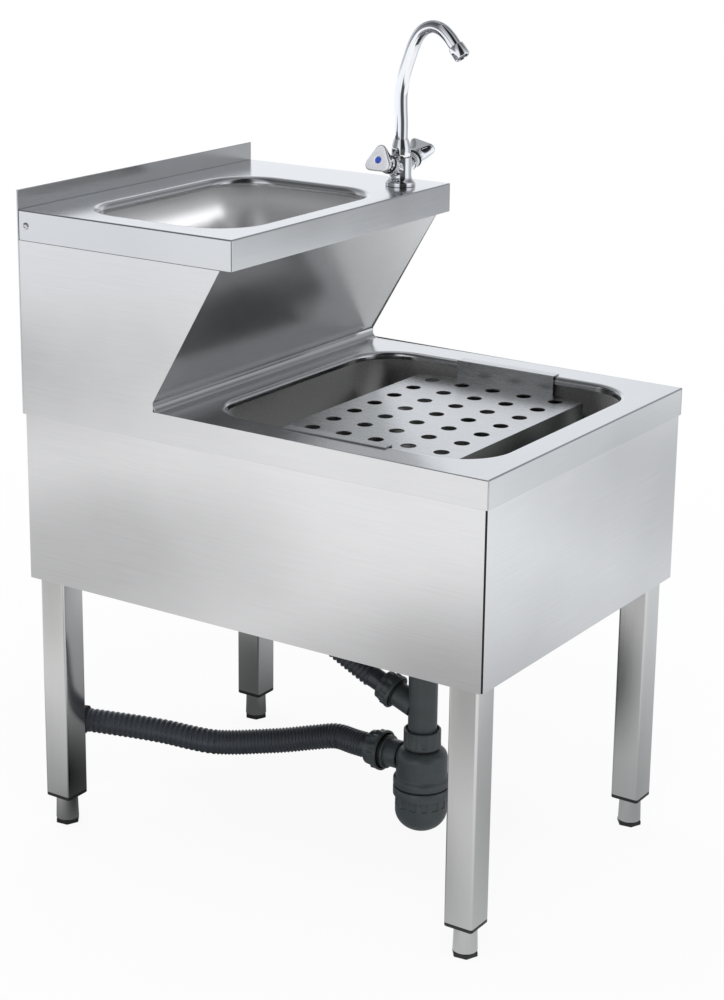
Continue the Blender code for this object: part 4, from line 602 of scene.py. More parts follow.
def make_side_sheets():
    """The riser's sides with the worktop's side lips, rounded along the top of the lip."""
    outline = [
        (FRONT_Y, LIP_BOTTOM), (BACK_INSIDE_Y, LIP_BOTTOM), (BACK_INSIDE_Y, SHELF_LIP_BOTTOM - GAP),
        (SHELF_FOLD_Y, SHELF_LIP_BOTTOM - GAP), (RISER_FOOT_Y, TOP + UPTURN), (RISER_FOOT_Y, TOP),
        (FRONT_Y, TOP),
    ]
    for name, side in (("left", -1), ("right", 1)):
        bm = bmesh.new()
        xs = (side * HALF_WIDTH, side * (HALF_WIDTH - SHEET))
        outer, inner = ([bm.verts.new((x, y, z)) for y, z in outline] for x in xs)
        bm.faces.new(outer)
        bm.faces.new(inner[::-1])
        for index in range(len(outline)):
            after = (index + 1) % len(outline)
            bm.faces.new((outer[index], outer[after], inner[after], inner[index]))
        outside = [edge for edge in bm.edges if lies_at(edge, 0, side * HALF_WIDTH)]
        folds = [edge for edge in outside if lies_at(edge, 2, TOP) or lies_at(edge, 1, FRONT_Y)]
        bmesh.ops.bevel(bm, geom=folds, offset=0.0013, segments=4, profile=0.5, affect="EDGES")
        finish_piece(f"{name}_side", bm, [f"{name}_side_sheet"], edges=0.0003, finish=STEEL_SIDES)


def make_riser_panel():
    foot_y = RISER_FOOT_Y + SHEET + GAP
    profile = [(foot_y, TOP + 0.005), (foot_y, TOP + UPTURN)]
    profile += [(SHELF_FOLD_Y, SHELF_LIP_BOTTOM), (SHELF_FOLD_Y, SHELF_TOP - 0.0018)]
    bm = bmesh.new()
    strip(bm, profile, [INSIDE_X - GAP] * len(profile))
    panel = ["riser_front_panel"]
    finish_piece("riser_slanted_panel", bm, panel, outward=False, sheet=0.0012, edges=0.0008)


def plain_box(bm, corner, opposite):
    spans = [sorted(ends) for ends in zip(corner, opposite)]
    made = bmesh.ops.create_cube(bm, size=1.0)["verts"]
    bmesh.ops.scale(bm, vec=[b - a for a, b in spans], verts=made)
    bmesh.ops.translate(bm, vec=[(a + b) / 2 for a, b in spans], verts=made)


def make_back_panel():
    bm = bmesh.new()
    plain_box(bm, (-HALF_WIDTH, BACK_INSIDE_Y + GAP, LIP_BOTTOM), (HALF_WIDTH, BACK_Y, UPSTAND_TOP))
    finish_piece("riser_back_sheet", bm, ["riser_back_panel"], edges=0.0007, segments=3)


def make_aprons():
    """One folded skirt behind the lip, with its stiffening flanges between the legs."""
    front, back, low, high = SKIRT_FRONT_Y, BACK_INSIDE_Y, SKIRT_BOTTOM, SKIRT_TOP
    width, length = 2 * SKIRT_X, back - front
    middle = (0.0, (front + back) / 2)
    bm = bmesh.new()
    sizes = [(0.0, low), (0.0, high), (SHEET, high), (SHEET, low)]
    rings = [ring_round(width - 2 * i, length - 2 * i, SKIRT_BEND - i, z, middle, 5) for i, z in sizes]

    # A groove down the outside of each corner, at the middle two of its six points
    for ring in rings[:2]:
        for index, point in enumerate(ring):
            if index % 6 in (2, 3):
                outward = Vector((math.copysign(1, point.x), math.copysign(1, point.y), 0)).normalized()
                point -= outward * CORNER_GROOVE
    loft(bm, rings, closed=True)
    leg, flange = 0.054, 0.0135
    for side in (-1, 1):
        x = side * (SKIRT_X - SHEET)
        plain_box(bm, (x, front + leg, low), (x - side * flange, back - leg, low + SHEET))
        y = front + SHEET if side < 0 else back - SHEET
        plain_box(bm, (leg - SKIRT_X, y, low), (SKIRT_X - leg, y - side * flange, low + SHEET))
    aprons = [f"{side}_apron" for side in ("front", "left", "right", "rear")]
    finish_piece("apron_skirt", bm, aprons, edges=0.0003)


def make_corner_shade_strips():
    """A black strip in each corner groove of the skirt: painted shade for the dark line down each corner."""
    near, deep = 0.0012, 0.003
    bm = bmesh.new()
    for x in (-SKIRT_X, SKIRT_X):
        for y in (SKIRT_FRONT_Y, BACK_INSIDE_Y):
            way_x, way_y = math.copysign(1, -x), math.copysign(1, -y)
            corner = (x + way_x * near, y + way_y * near, SKIRT_BOTTOM + 0.0005)
            plain_box(bm, corner, (x + way_x * deep, y + way_y * deep, SKIRT_TOP - 0.0002))
    finish_piece("skirt_painted_shade_strips", bm, ["front_apron"], finish=FINISH["rubber"])


make_lower_worktop()
make_upper_worktop()
make_bowls()
make_side_sheets()
make_riser_panel()
make_back_panel()
make_aprons()
make_corner_shade_strips()

# Grate


def make_grate():
    """The perforated plate, folded up to its hanging lips and down at its ends."""
    level, side_x, straight, end = 0.594, 0.197, 0.074, 0.127
    end_x = side_x - 0.014
    bend, lip_top, lip_width, drop = 0.0012, TOP + 0.0018, 0.016, 0.028
    columns, rows, pitch, hole_radius = 8, 5, 0.0475, 0.01
    bm = bmesh.new()
    outline = [(side_x, -straight), (side_x, straight), (end_x, end), (-end_x, end)]
    outline += [(-x, -y) for x, y in outline]
    bm.faces.new([bm.verts.new((x, y, level)) for x, y in outline])
    lip = [(side_x, level)] + arc((side_x + bend, lip_top - bend), bend, 180, 90, 4)
    lip.append((side_x + lip_width, lip_top))
    for side in (-1, 1):
        up = [[Vector((side * x, y, z)) for y in (-straight, straight)] for x, z in lip]
        down = [[Vector((x, side * end, z)) for x in (-end_x, end_x)] for z in (level, level - drop)]
        for fold in (up, down):
            loft(bm, fold, round_trip=False)
    face_up(bm, level)
    blank = object_from("grate_blank", bm)
    thicken(blank, SHEET)
    holes = bmesh.new()
    for column in range(columns):
        for row in range(rows):
            hole = bmesh.ops.create_cone(
                holes, cap_ends=True, segments=36, radius1=hole_radius, radius2=hole_radius, depth=0.008
            )
            place = ((column - (columns - 1) / 2) * pitch, (row - (rows - 1) / 2) * pitch, level)
            bmesh.ops.translate(holes, verts=hole["verts"], vec=place)
    cutter = object_from("grate_holes", holes)
    cut = blank.modifiers.new("Holes", "BOOLEAN")
    cut.operation = "DIFFERENCE"
    cut.object = cutter
    cut.solver = "EXACT"
    bpy.context.view_layer.update()
    cut_mesh = bpy.data.meshes.new_from_object(blank.evaluated_get(bpy.context.evaluated_depsgraph_get()))
    for spare in (blank, cutter):
        bpy.data.objects.remove(spare)
    done = bmesh.new()
    done.from_mesh(cut_mesh)
    place = Matrix.Translation((0, BUCKET_Y - 0.003, 0))
    finish_piece("bucket_grate_plate", done, ["bucket_grate"], place, edges=0.0004)


make_grate()

# Legs and feet

LEGS = {"front_left": (-1, -1), "front_right": (1, -1), "back_left": (-1, 1), "back_right": (1, 1)}
LEG_PLACE = (0.219, 0.3175)

# Leg tube and cap: side, corner radius and height
LEG_SIZES = [(0.04, 0.0034, 0.045), (0.04, 0.0034, 0.613), (0.037, 0.002, 0.613), (0.037, 0.002, 0.045)]
CAP_SIZES = [
    (0.0385, 0.0032, 0.04), (0.04, 0.0036, 0.0408), (0.04, 0.0036, 0.0447), (0.0364, 0.0018, 0.0447),
    (0.0364, 0.0018, 0.065), (0.011, 0.0055, 0.065), (0.011, 0.0055, 0.04),
]
FOOT_PROFILE = [
    (0, 0.0847), (0.005, 0.0847), (0.005, 0.0397), (0.0138, 0.0397), (0.0145, 0.039), (0.0155, 0.0065),
    (0, 0.0065),
]


def make_legs():
    for corner, (side_x, side_y) in LEGS.items():
        place = Matrix.Translation((side_x * LEG_PLACE[0], side_y * LEG_PLACE[1], 0))
        for name, node, sizes in (("leg_tube", "leg", LEG_SIZES), ("leg_cap", "leg_insert", CAP_SIZES)):
            bm = bmesh.new()
            loft(bm, [ring_round(side, side, radius, z, steps=6) for side, radius, z in sizes], closed=True)
            finish_piece(f"{name}_{corner}", bm, [f"{node}_{corner}"], place)
        foot_place = place.translation
        turned_piece(f"foot_tube_{corner}", f"foot_sleeve_{corner}", FOOT_PROFILE, foot_place, edges=0.0002)
        bm = bmesh.new()
        pad = [(0, 0.0062), (0.016, 0.0062), (0.017, 0.0052), (0.017, 0.0), (0, 0.0)]
        loft(bm, turned_rings(pad, 6))
        turn = Matrix.Rotation(math.radians(37), 4, "Z")
        finish_piece(f"foot_hex_{corner}", bm, [f"foot_pad_{corner}"], place @ turn, edges=0.0006)


def make_screw():
    """A pan head with a cross recess and a washer under it, on the shelf's left lip."""
    profile = [
        (0, 0.0012), (0.0011, 0.0014), (0.0022, 0.0024), (0.0034, 0.002), (0.0042, 0.0012),
        (0.0043, 0.0006), (0.0045, 0.0005), (0.0045, 0.0003), (0.002, 0.0003), (0.002, -0.008),
        (0, -0.008),
    ]
    place = (-HALF_WIDTH, 0.335, 0.83)

    def cross(angle, radius, height):
        return radius * (1.25 if height > 0.0011 and radius < 0.0012 and math.cos(4 * angle) > 0.4 else 1.0)

    steel = FINISH["bright_steel"]
    turned_piece("lip_screw_head", "lip_screw", profile, place, (-1, 0, 0), 32, 0.0, cross, steel)


make_legs()
make_screw()

# Wastes, trap and nuts


def ribs(count, depth, low, high, share, soft=0.1):
    """A shape function with flutes cut between ribs, over a band of heights."""

    def shape(angle, radius, height):
        if not low <= height <= high:
            return radius
        turn = (angle * count / (2 * math.pi)) % 1.0
        edge = min(abs(turn - 0.5) - share / 2, soft) / soft
        return radius - depth * (1 - max(0.0, min(1.0, edge)))

    return shape


def make_strainer(name, place):
    """A flange dished towards its centre, over a short neck."""
    flange = [
        (0.0255, 0.0003), (0.034, 0.0003), (0.0335, 0.0011), (0.031, 0.0022), (0.027, 0.0021),
        (0.024, 0.0013), (0.006, 0.0011), (0, 0.0011), (0, 0.0003),
    ]
    neck = [(0.024, 0.0003), (0.0255, 0.0003), (0.0255, -0.012), (0.024, -0.012)]
    bm = bmesh.new()
    for profile in (flange, neck):
        loft(bm, turned_rings(profile, 60), closed=True)
    finish_piece(f"{name}_strainer", bm, [f"{name}_waste_flange"], Matrix.Translation(place))


def union_nut(name, node, radius, length, bore, place, direction):
    """A nut with a flared open end, a grip band of ribs and a narrower collar round the hose."""
    shares = [
        (0.87, 0.66), (0.93, 0.6), (0.97, 0.585), (0.97, 0.22), (1, 0.17), (1, 0.03), (0.975, 0), (0.9, 0),
        (0.86, 0.1), (0.84, 0.55),
    ]
    profile = [(bore, length), (radius * 0.8, length), (radius * 0.845, length - 0.0008)]
    profile += [(radius * out, length * up) for out, up in shares] + [(bore, length * 0.6)]
    grip = ribs(12, radius * 0.07, length * 0.22, length * 0.9, 0.4)
    turned_piece(name, node, profile, place, direction, 96, 0.0, grip)


def joint_ring(name, node, inner, outer, start, end, place, direction):
    middle, shoulder = (start + end) / 2, outer - 0.0006
    profile = [(inner, start), (shoulder, start), (outer, middle), (shoulder, end), (inner, end)]
    turned_piece(name, node, profile, place, direction, 60, finish=FINISH["rubber"])


def make_trap():
    axis = Vector((0.0, TRAP_Y, 0.0))
    outlet = Vector((0.0, TRAP_Y, 0.12))

    # Body with its inlet neck, round shoulder and flange
    bottle = [(0.0198, 0.1639), (0.0222, 0.1639), (0.0222, 0.1394)] + arc((0.0225, 0.1274), 0.012, 90, 0, 8)
    bottle += [
        (0.0345, 0.103), (0.035, 0.1014), (0.0361, 0.0998), (0.0373, 0.0984), (0.0379, 0.097),
        (0.038, 0.0955), (0.038, 0.0898), (0.0374, 0.089), (0.0315, 0.089), (0.0315, 0.1272),
        (0.0225, 0.1392), (0.0198, 0.1392),
    ]
    turned_piece("trap_bottle", "trap_body", bottle, axis, UP, 72, 0.0003)

    # Outlet stub with its collar
    stub = [
        (0.019, 0.032), (0.019, 0.0504), (0.0225, 0.051), (0.023, 0.0515), (0.023, 0.0534),
        (0.0225, 0.0539), (0.019, 0.0543), (0.019, 0.068), (0.0155, 0.068), (0.0155, 0.032),
    ]
    turned_piece("trap_outlet_stub", "trap_body", stub, outlet, BACK, 60, 0.0003)

    # Black rubber rings in the gaps at the nuts. The inlet ring is the slip joint's seal. The outlet and
    # branch rings are union seals that also fill their dark gaps as painted shade.
    # The neck ring under the inlet nut is painted shade only: a black ring in a gap that is in shadow
    joint_ring("trap_neck_painted_shade_ring", "trap_body", 0.0224, 0.0236, 0.1397, 0.1424, axis, UP)
    joint_ring("trap_outlet_ring", "trap_body", 0.0192, 0.0226, 0.0545, 0.0598, outlet, BACK)
    joint_ring("branch_ring", "tailpipe", 0.0172, 0.0206, 0.0425, 0.0465, BRANCH_AXIS, BRANCH_WAY)
    joint_ring("trap_inlet_ring", "trap_inlet_nut", 0.0199, 0.0224, 0.1622, 0.1648, axis, UP)

    # Inlet nut: its top edge stands round the pipe with a dark gap
    nut = [
        (0.0225, 0.167), (0.0243, 0.167), (0.025, 0.1662), (0.025, 0.1475), (0.0252, 0.1465),
        (0.0253, 0.1455), (0.0253, 0.1435), (0.0247, 0.1427), (0.0225, 0.1425), (0.0225, 0.16),
        (0.0198, 0.1602), (0.0198, 0.1615), (0.0222, 0.162),
    ]
    grip = ribs(14, 0.0009, 0.1475, 0.16, 0.34)
    turned_piece("trap_inlet_union", "trap_inlet_nut", nut, axis, UP, 96, 0.0, grip)
    small = (0.0238, 0.0225, 0.0143)
    branch_end = BRANCH_AXIS + BRANCH_WAY * 0.0445
    hand_end = (*HAND_WASTE[:2], SPIGOT_END + 0.01125)
    union_nut("trap_outlet_union", "trap_outlet_nut", 0.0275, 0.023, 0.0163, outlet + BACK * 0.058, BACK)
    union_nut("branch_union", "branch_nut", *small, branch_end, BRANCH_WAY)
    union_nut("hand_waste_union", "hand_waste_nut", *small, hand_end, (0, 0, -1))

    # Cup with a collar, grip flutes and a round bottom
    seal = [(0.0362, 0.0887), (0.0366, 0.088), (0.0362, 0.0865), (0.033, 0.0865), (0.033, 0.0887)]
    turned_piece("trap_cup_ring_seal", "trap_cup_seal", seal, axis, UP, 72)
    outer = [
        (0.0374, 0.0862), (0.038, 0.0853), (0.038, 0.076), (0.0379, 0.0745), (0.0372, 0.0733),
        (0.036, 0.0724), (0.0352, 0.0716), (0.035, 0.0706), (0.035, 0.0612), (0.035, 0.06), (0.035, 0.055),
    ]
    turns = [math.radians(90 * k / 16) for k in range(17)]
    outer += [(0.035 * math.cos(a), 0.0515 - 0.029 * math.sin(a)) for a in turns]
    outer[-1] = (0.0, 0.0225)
    inner = [(0.032 * math.cos(a), 0.0515 - 0.026 * math.sin(a)) for a in reversed(turns)]
    inner[0] = (0.0, 0.0255)
    grooves = ribs(14, 0.0016, 0.0605, 0.071, 0.55, 0.06)

    def cup_shape(angle, radius, height):
        return min(grooves(angle, 0.035, height), radius) if radius > 0.0345 and height < 0.074 else radius

    cup = outer + inner + [(0.032, 0.0862)]
    turned_piece("trap_cup_bowl", "trap_cup", cup, axis, UP, 168, 0.0, cup_shape)


def make_tailpipe():
    tube = [(0.0195, 0.0615), (0.0195, 0.3337), (0.0175, 0.3337), (0.0175, 0.0615)]
    turned_piece("tailpipe_tube", "tailpipe", tube, (0.0, TRAP_Y, 0.0), UP, 60)
    branch = [(0.017, 0.014), (0.017, 0.054), (0.0135, 0.054), (0.0135, 0.014)]
    turned_piece("tailpipe_branch", "tailpipe", branch, BRANCH_AXIS, BRANCH_WAY, 48, 0.0003)


def make_waste_body(name, place, end_radius, end_bore, end_length):
    top, throat, cone = -0.0015, 0.0258, -0.0333
    end = cone - end_length
    funnel = [
        (0.034, top), (0.034, top - 0.003), (throat + 0.003, top - 0.0032), (throat + 0.003, -0.0153),
        (end_radius, cone), (end_radius, end), (end_bore, end), (end_bore, cone), (throat, -0.0123),
        (throat, top),
    ]
    turned_piece(f"{name}_waste_funnel", f"{name}_waste_body", funnel, place, edges=0.0006)


make_trap()
make_tailpipe()
make_strainer("bucket", BUCKET_WASTE)
make_strainer("hand", HAND_WASTE)
make_waste_body("bucket", BUCKET_WASTE, 0.024, 0.0198, 0.03)
make_waste_body("hand", HAND_WASTE, 0.017, 0.0135, 0.016)

# Tap

TAP = Vector((0.193, 0.055, 0.8503))
SPOUT_BASE = TAP + UP * 0.039
VALVE_PLACE = TAP + UP * 0.021
VALVE_SLOPE = math.radians(20)
SPOUT_REACH, SPOUT_RISE = 0.0965, 0.1765

# The spout's curve: shares of its reach, and of its rise
SPOUT_SHARES = [
    (0, 0.12), (0, 0.26), (-0.012, 0.38), (-0.01, 0.49), (0.035, 0.62), (0.115, 0.75), (0.21, 0.88),
    (0.325, 0.965), (0.48, 1), (0.625, 0.983), (0.75, 0.932), (0.875, 0.852),
]


def make_tap():
    column = [
        (0, 0.039), (0.0146, 0.039), (0.015, 0.0384), (0.015, 0.015), (0.0153, 0.0122), (0.0163, 0.0098),
        (0.018, 0.0078), (0.0198, 0.0062), (0.0204, 0.0048), (0.0205, 0.0036), (0.0205, 0),
        (0.0135, 0), (0.0135, -0.03), (0, -0.03),
    ]
    turned_piece("tap_column", "tap_body", column, TAP, steps=64, edges=0.0003)
    for side, name, turn in ((-1, "cold", math.radians(90)), (1, "hot", math.radians(45))):
        way = Vector((side * math.cos(VALVE_SLOPE), 0, math.sin(VALVE_SLOPE)))
        port = [(0, 0.0203), (0.0104, 0.0203), (0.011, 0.0197), (0.011, 0.01), (0, 0.01)]
        turned_piece(f"tap_port_{name}", "tap_body", port, VALVE_PLACE, way)
        make_valve(name, way, turn)

    places = [SPOUT_BASE + Vector((0, -out * SPOUT_REACH, up * SPOUT_RISE)) for out, up in SPOUT_SHARES]
    curve = smooth_route([SPOUT_BASE + UP * 0.0006, *places], 6)
    bm = bmesh.new()
    outer, inner = (tube_rings(curve, [radius] * len(curve), 40) for radius in (0.0091, 0.0076))
    loft(bm, outer + inner[::-1], closed=True)
    finish_piece("spout_neck", bm, ["spout"], sharp=50)
    end_way = (curve[-1] - curve[-2]).normalized()
    end_place = curve[-1] - end_way * 0.004
    aerator = [
        (0.008, 0.0172), (0.0098, 0.0172), (0.01, 0.018), (0.011, 0.018), (0.0115, 0.0174),
        (0.0115, 0.0012), (0.011, 0.0004), (0.0098, 0), (0.0094, 0), (0.0094, 0.0043), (0.008, 0.0043),
    ]
    turned_piece("spout_aerator", "aerator", aerator, end_place, end_way, 56)
    insert = [(0, 0.015), (0.0082, 0.015), (0.0082, 0.0162), (0.007, 0.0166), (0, 0.0166)]
    turned_piece("spout_insert", "aerator", insert, end_place, end_way, finish=FINISH["grey_plastic"])
    nut = [
        (0.01, 0.024), (0.0104, 0.0238), (0.0116, 0.0195), (0.0128, 0.0152), (0.0134, 0.0128),
        (0.0135, 0.0112), (0.0135, 0.0036), (0.0132, 0.0022), (0.0128, 0.0003), (0.0094, 0.0003),
        (0.0094, 0.024),
    ]
    turned_piece("spout_collar", "spout_nut", nut, SPOUT_BASE, UP, 64)


# A handle's outside: shares of its length, and of its reach and waist there
HANDLE_PROFILE = [
    (0, 0.556, 0.814), (0.04, 0.56, 0.815), (0.18, 0.565, 0.815), (0.3, 0.62, 0.83), (0.4, 0.69, 0.855),
    (0.5, 0.76, 0.88), (0.6, 0.83, 0.915), (0.7, 0.895, 0.945), (0.8, 0.955, 0.975), (0.88, 0.99, 0.995),
    (0.93, 1, 1), (0.97, 0.985, 0.985), (0.99, 0.96, 0.962), (0.995, 0.94, 0.945),
]
HANDLE_START = 0.0348
BUTTON_RECESS = 0.001


def handle_ring(reach, waist, height, turn):
    """A triangle with round corners. reach is its radius at a corner, waist that at the middle of a side."""
    count = 72
    third = 2 * math.pi / 3
    corner = 2 * waist - reach
    offset = reach - corner
    corner_end = math.atan2(corner * math.sin(third / 2), offset + corner * math.cos(third / 2))
    ring = []
    for step in range(count):
        angle = 2 * math.pi * step / count
        away = abs((angle + third / 2) % third - third / 2)
        if away <= corner_end:
            radius = offset * math.cos(away) + math.sqrt(corner**2 - (offset * math.sin(away)) ** 2)
        else:
            radius = waist / math.cos(third / 2 - away)
        ring.append(Vector((radius * math.cos(turn + angle), radius * math.sin(turn + angle), height)))
    return ring


def make_valve(name, way, turn):
    knurl = ribs(36, 0.0004, 0.0225, 0.0295, 0.5, 0.2)
    bonnet = [
        (0, 0.046), (0.0036, 0.046), (0.004, 0.0455), (0.004, 0.031), (0.0112, 0.031), (0.0118, 0.0304),
        (0.0118, 0.0295), (0.0118, 0.0225), (0.0118, 0.0216), (0.0112, 0.0208), (0, 0.0208),
    ]

    def grip(angle, radius, height):
        return knurl(angle, radius, height) if radius > 0.011 else radius

    turned_piece(f"{name}_bonnet", f"{name}_valve", bonnet, VALVE_PLACE, way, 144, 0.0, grip)
    seal = [(0.0122, 0.0034), (0.0127, 0.0029), (0.0127, 0.0004), (0.0122, 0), (0.0044, 0), (0.0044, 0.0034)]
    seal_place = VALVE_PLACE + way * 0.0313
    turned_piece(f"{name}_seal_ring", f"{name}_handle_seal", seal, seal_place, way)
    length, reach, waist = 0.025, 0.0212, 0.0147
    bottom = length - BUTTON_RECESS
    grip_sizes = [(0, 0, 0.0115), (0.0044, 0.0044, 0.0115), (0.0044, 0.0044, 0), (0.011, 0.011, 0)]
    grip_sizes += [(reach * out, waist * narrow, length * height) for height, out, narrow in HANDLE_PROFILE]
    grip_sizes.append((0, 0, bottom))

    # The face: a slightly crowned plate with a round recess for the button
    face = [(0.93, 0.935, -BUTTON_RECESS), (0.925, 0.93, 0), (0.905, 0.91, 0.00018), (0.6, 0.6, 0.0005)]
    face_sizes = [(reach * out, waist * narrow, length + rise) for out, narrow, rise in face]
    face_sizes += [(0.0056, 0.0056, length + 0.0006), (0.005, 0.005, length + 0.0003)]
    face_sizes += [(0.005, 0.005, bottom), (0, 0, bottom)]
    place = aimed(VALVE_PLACE + way * HANDLE_START, way)
    for part, sizes, finish in (("grip", grip_sizes, None), ("face", face_sizes, HANDLE_FACE)):
        bm = bmesh.new()
        loft(bm, [handle_ring(*size, turn) for size in sizes])
        finish_piece(f"{name}_handle_{part}", bm, [f"{name}_handle"], place, finish=finish)
    dome = [(0, 0.0014), (0.002, 0.00135), (0.0036, 0.0011), (0.0045, 0.0007), (0.0047, 0.0002)]
    dome += [(0.0047, 0), (0, 0)]
    dome_place = VALVE_PLACE + way * (HANDLE_START + bottom + GAP)
    turned_piece(f"{name}_dot", f"{name}_index", dome, dome_place, way)


make_tap()

# Studio

STUDIO_YAW = math.radians(52.884)
FLOOR_RADIUS = 4.0
FILL_LEVEL = 0.95


def emitter(name, place, target, size, power, mirrored=True):
    data = bpy.data.lights.new(name, "AREA")
    data.shape = "RECTANGLE"
    data.size, data.size_y = size
    data.energy = power
    lamp = link_object(name, data)
    turn = (Vector(target) - Vector(place)).to_track_quat("-Z", "Y")
    lamp.matrix_world = Matrix.Translation(place) @ turn.to_matrix().to_4x4()
    lamp.visible_glossy = mirrored
    return lamp


def ramp(tree, value, stops, colour=(1, 1, 1)):
    """A colour ramp from (position, level) stops."""
    made = add_node(tree, "ValToRGB", {"Fac": value})
    elements = made.color_ramp.elements
    while len(elements) < len(stops):
        elements.new(0.5)
    for element, (position, level) in zip(elements, stops):
        element.position = position
        element.color = (*(level * channel for channel in colour), 1)
    return made.outputs["Color"]


# The room that metal mirrors, by turn_of: 0 and 1 are behind the unit, 0.5 is the camera's side.
# LOW_TURNS holds below the horizon. ROOM_HEIGHTS goes from straight down, 0, to straight up, 1.
ROOM_TURNS = [
    (0, 1.1), (0.03, 1.1), (0.06, 0.6), (0.12, 0.6), (0.16, 0.8), (0.2, 0.26), (0.34, 0.26),
    (0.38, 1), (0.45, 1), (0.48, 0.04), (0.61, 0.04), (0.64, 1), (0.71, 1), (0.77, 0.45),
    (0.86, 0.45), (0.9, 0.95), (0.94, 0.6), (0.97, 1.1), (1, 1.1),
]
LOW_TURNS = [
    (0, 1.1), (0.33, 1.1), (0.45, 0.95), (0.48, 0.1), (0.61, 0.1), (0.64, 1), (0.71, 1),
    (0.77, 0.5), (0.87, 0.5), (0.93, 1.1), (1, 1.1),
]
ROOM_HEIGHTS = [(0.0, 1.0), (0.64, 1.0), (0.74, 0.62), (0.88, 0.42), (1.0, 0.38)]
# Painted shade in the glowing floor that metal mirrors, by turn_of: dark at the camera's side
FLOOR_SHADE_TURNS = [(0.0, 1.0), (0.45, 1.0), (0.48, 0.08), (0.61, 0.08), (0.64, 1.0), (1.0, 1.0)]

# Painted shade in the glowing floor that metal mirrors: pools for the unit's shadow and the darker floor
# round it. Centre, inner and outer radius, depth
PAINTED_SHADE_POOLS = [
    ((-0.25, 0.05, 0), 0.1, 0.35, 0.4), ((0.15, 0.45, 0), 0.2, 0.75, 0.55),
    ((0.3, -0.55, 0), 0.15, 0.6, 0.26), ((1.1, -0.6, 0), 0.2, 0.7, 0.17),
    ((1.95, -0.8, 0), 0.3, 0.85, 0.45), ((1.15, 0.05, 0), 0.1, 0.6, 0.42),
    ((-1.08, 0.05, 0), 0.15, 0.5, 0.42), ((-1.1, 1.1, 0), 0.2, 0.6, 0.42),
    ((-2.05, 2.05, 0), 0.15, 0.8, 0.48),
]


def turn_of(tree, east, north):
    """Turn from behind the unit, 0 to 1, anticlockwise from above, with the camera's side at a half."""
    back_x, back_y = -math.sin(STUDIO_YAW), -math.cos(STUDIO_YAW)
    toward, aside = (
        math_node(tree, "ADD", math_node(tree, "MULTIPLY", east, x), math_node(tree, "MULTIPLY", north, y))
        for x, y in ((back_x, back_y), (-back_y, back_x))
    )
    return remap(tree, math_node(tree, "ARCTAN2", aside, toward), -math.pi, math.pi)


def make_world():
    """A light room, dark at the camera's side, for metal to mirror. The camera sees plain white."""
    world = bpy.data.worlds.new("studio")
    bpy.context.scene.world = world
    world.use_nodes = True
    tree = world.node_tree
    tree.nodes.clear()
    way = add_node(tree, "SeparateXYZ", {"Vector": add_node(tree, "TexCoord").outputs["Generated"]})
    east, north, height = (way.outputs[axis] for axis in "XYZ")
    turn = turn_of(tree, east, north)
    tint = (0.965, 0.99, 1.03)
    low, high = (ramp(tree, turn, stops, tint) for stops in (LOW_TURNS, ROOM_TURNS))
    walls = blend_colours(tree, remap(tree, height, -0.03, 0.06), low, high)
    heights = ramp(tree, remap(tree, height, -1.0, 1.0), ROOM_HEIGHTS)
    mirrored = blend_colours(tree, 1.0, walls, heights, "MULTIPLY")
    room, fill, white = (
        add_node(tree, "Background", {"Color": colour, "Strength": strength}).outputs[0]
        for colour, strength in ((mirrored, 1.0), ((0.98, 0.99, 1, 1), FILL_LEVEL), ((1, 1, 1, 1), 1.0))
    )
    rays = add_node(tree, "LightPath").outputs
    lit = mix_shaders(tree, rays["Is Diffuse Ray"], room, fill)
    seen = mix_shaders(tree, rays["Is Camera Ray"], lit, white)
    add_node(tree, "OutputWorld", {"Surface": seen})


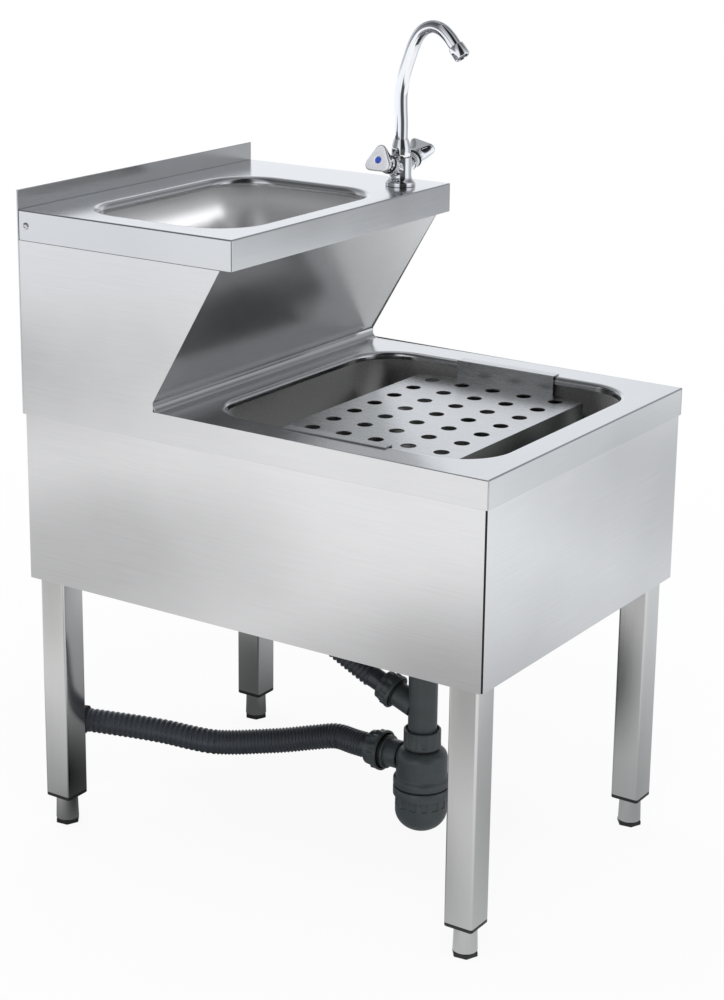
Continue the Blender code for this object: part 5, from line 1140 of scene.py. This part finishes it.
def make_floor():
    """A round pale floor, almost white to the camera, with a soft shadow. Metal mirrors a glowing copy with
    painted light and shade.
    """
    bm = bmesh.new()
    bmesh.ops.create_circle(bm, cap_ends=True, segments=96, radius=FLOOR_RADIUS)
    floor = object_from("floor", bm)
    material, tree, shader, place = start_material("floor_finish")
    reach = add_node(tree, "VectorMath", {0: place}, operation="LENGTH").outputs["Value"]
    cloud = remap(tree, noise(tree, place, 0.9, 1.0), 0.3, 0.7, 0.7, 0.76)
    set_inputs(tree, shader, {"Base Color": cloud, "Roughness": 0.9, "Specular IOR Level": 0.0})
    # Painted light and shade that only metal sees: the glowing floor is darker towards the unit, in the
    # pools and in a wedge at the camera's side
    level = remap(tree, reach, 0.4, 1.5, 0.66, 1.1)
    for centre, inner, outer, depth in PAINTED_SHADE_POOLS:
        gap = add_node(tree, "VectorMath", {0: place, 1: centre}, operation="DISTANCE").outputs["Value"]
        level = math_node(tree, "SUBTRACT", level, remap(tree, gap, inner, outer, depth, 0.0))
    sides = add_node(tree, "SeparateXYZ", {"Vector": place}).outputs
    shade_wedge = ramp(tree, turn_of(tree, sides["X"], sides["Y"]), FLOOR_SHADE_TURNS)
    outside = remap(tree, reach, 2.0, 2.4, 1.0, 0.0)
    level = math_node(tree, "MULTIPLY", level, math_node(tree, "MAXIMUM", shade_wedge, outside))
    tint = blend_colours(tree, remap(tree, sides["X"], -0.8, 0.6), (1, 1, 1), (0.965, 0.99, 1.01))
    mirrored = add_node(tree, "Emission", {"Color": tint, "Strength": level}).outputs[0]
    glow = add_node(tree, "Emission", {"Color": (1, 1, 1, 1), "Strength": 1.0}).outputs[0]
    shown = remap(tree, reach, 0.7, 2.0, 0.91, 1.0)
    rays = add_node(tree, "LightPath").outputs
    share = math_node(tree, "MULTIPLY", rays["Is Camera Ray"], shown)
    plain = mix_shaders(tree, share, shader.outputs[0], glow)
    mix = mix_shaders(tree, rays["Is Glossy Ray"], plain, mirrored)
    set_inputs(tree, tree.nodes["Material Output"], {"Surface": mix})
    floor.data.materials.append(material)


make_world()
make_floor()
emitter("key_light", (-1.6, -1.2, 2.6), (0, 0, 0.6), (1.4, 1.4), 26.0, False)
emitter("top_light", (0.3, 0.9, 2.7), (0, 0.1, 0.7), (1.6, 1.0), 16.0, False)

# The side light reaches only the hand basin
sparkle = emitter("side_light", (1.7, -0.7, 2.2), (0, 0.1, 0.8), (1.0, 1.0), 10.0)
lit_pieces = bpy.data.collections.new("lit_pieces")
lit_pieces.objects.link(bpy.data.objects["hand_basin_bowl"])
sparkle.light_linking.receiver_collection = lit_pieces

bpy.context.scene.view_settings.view_transform = "Standard"
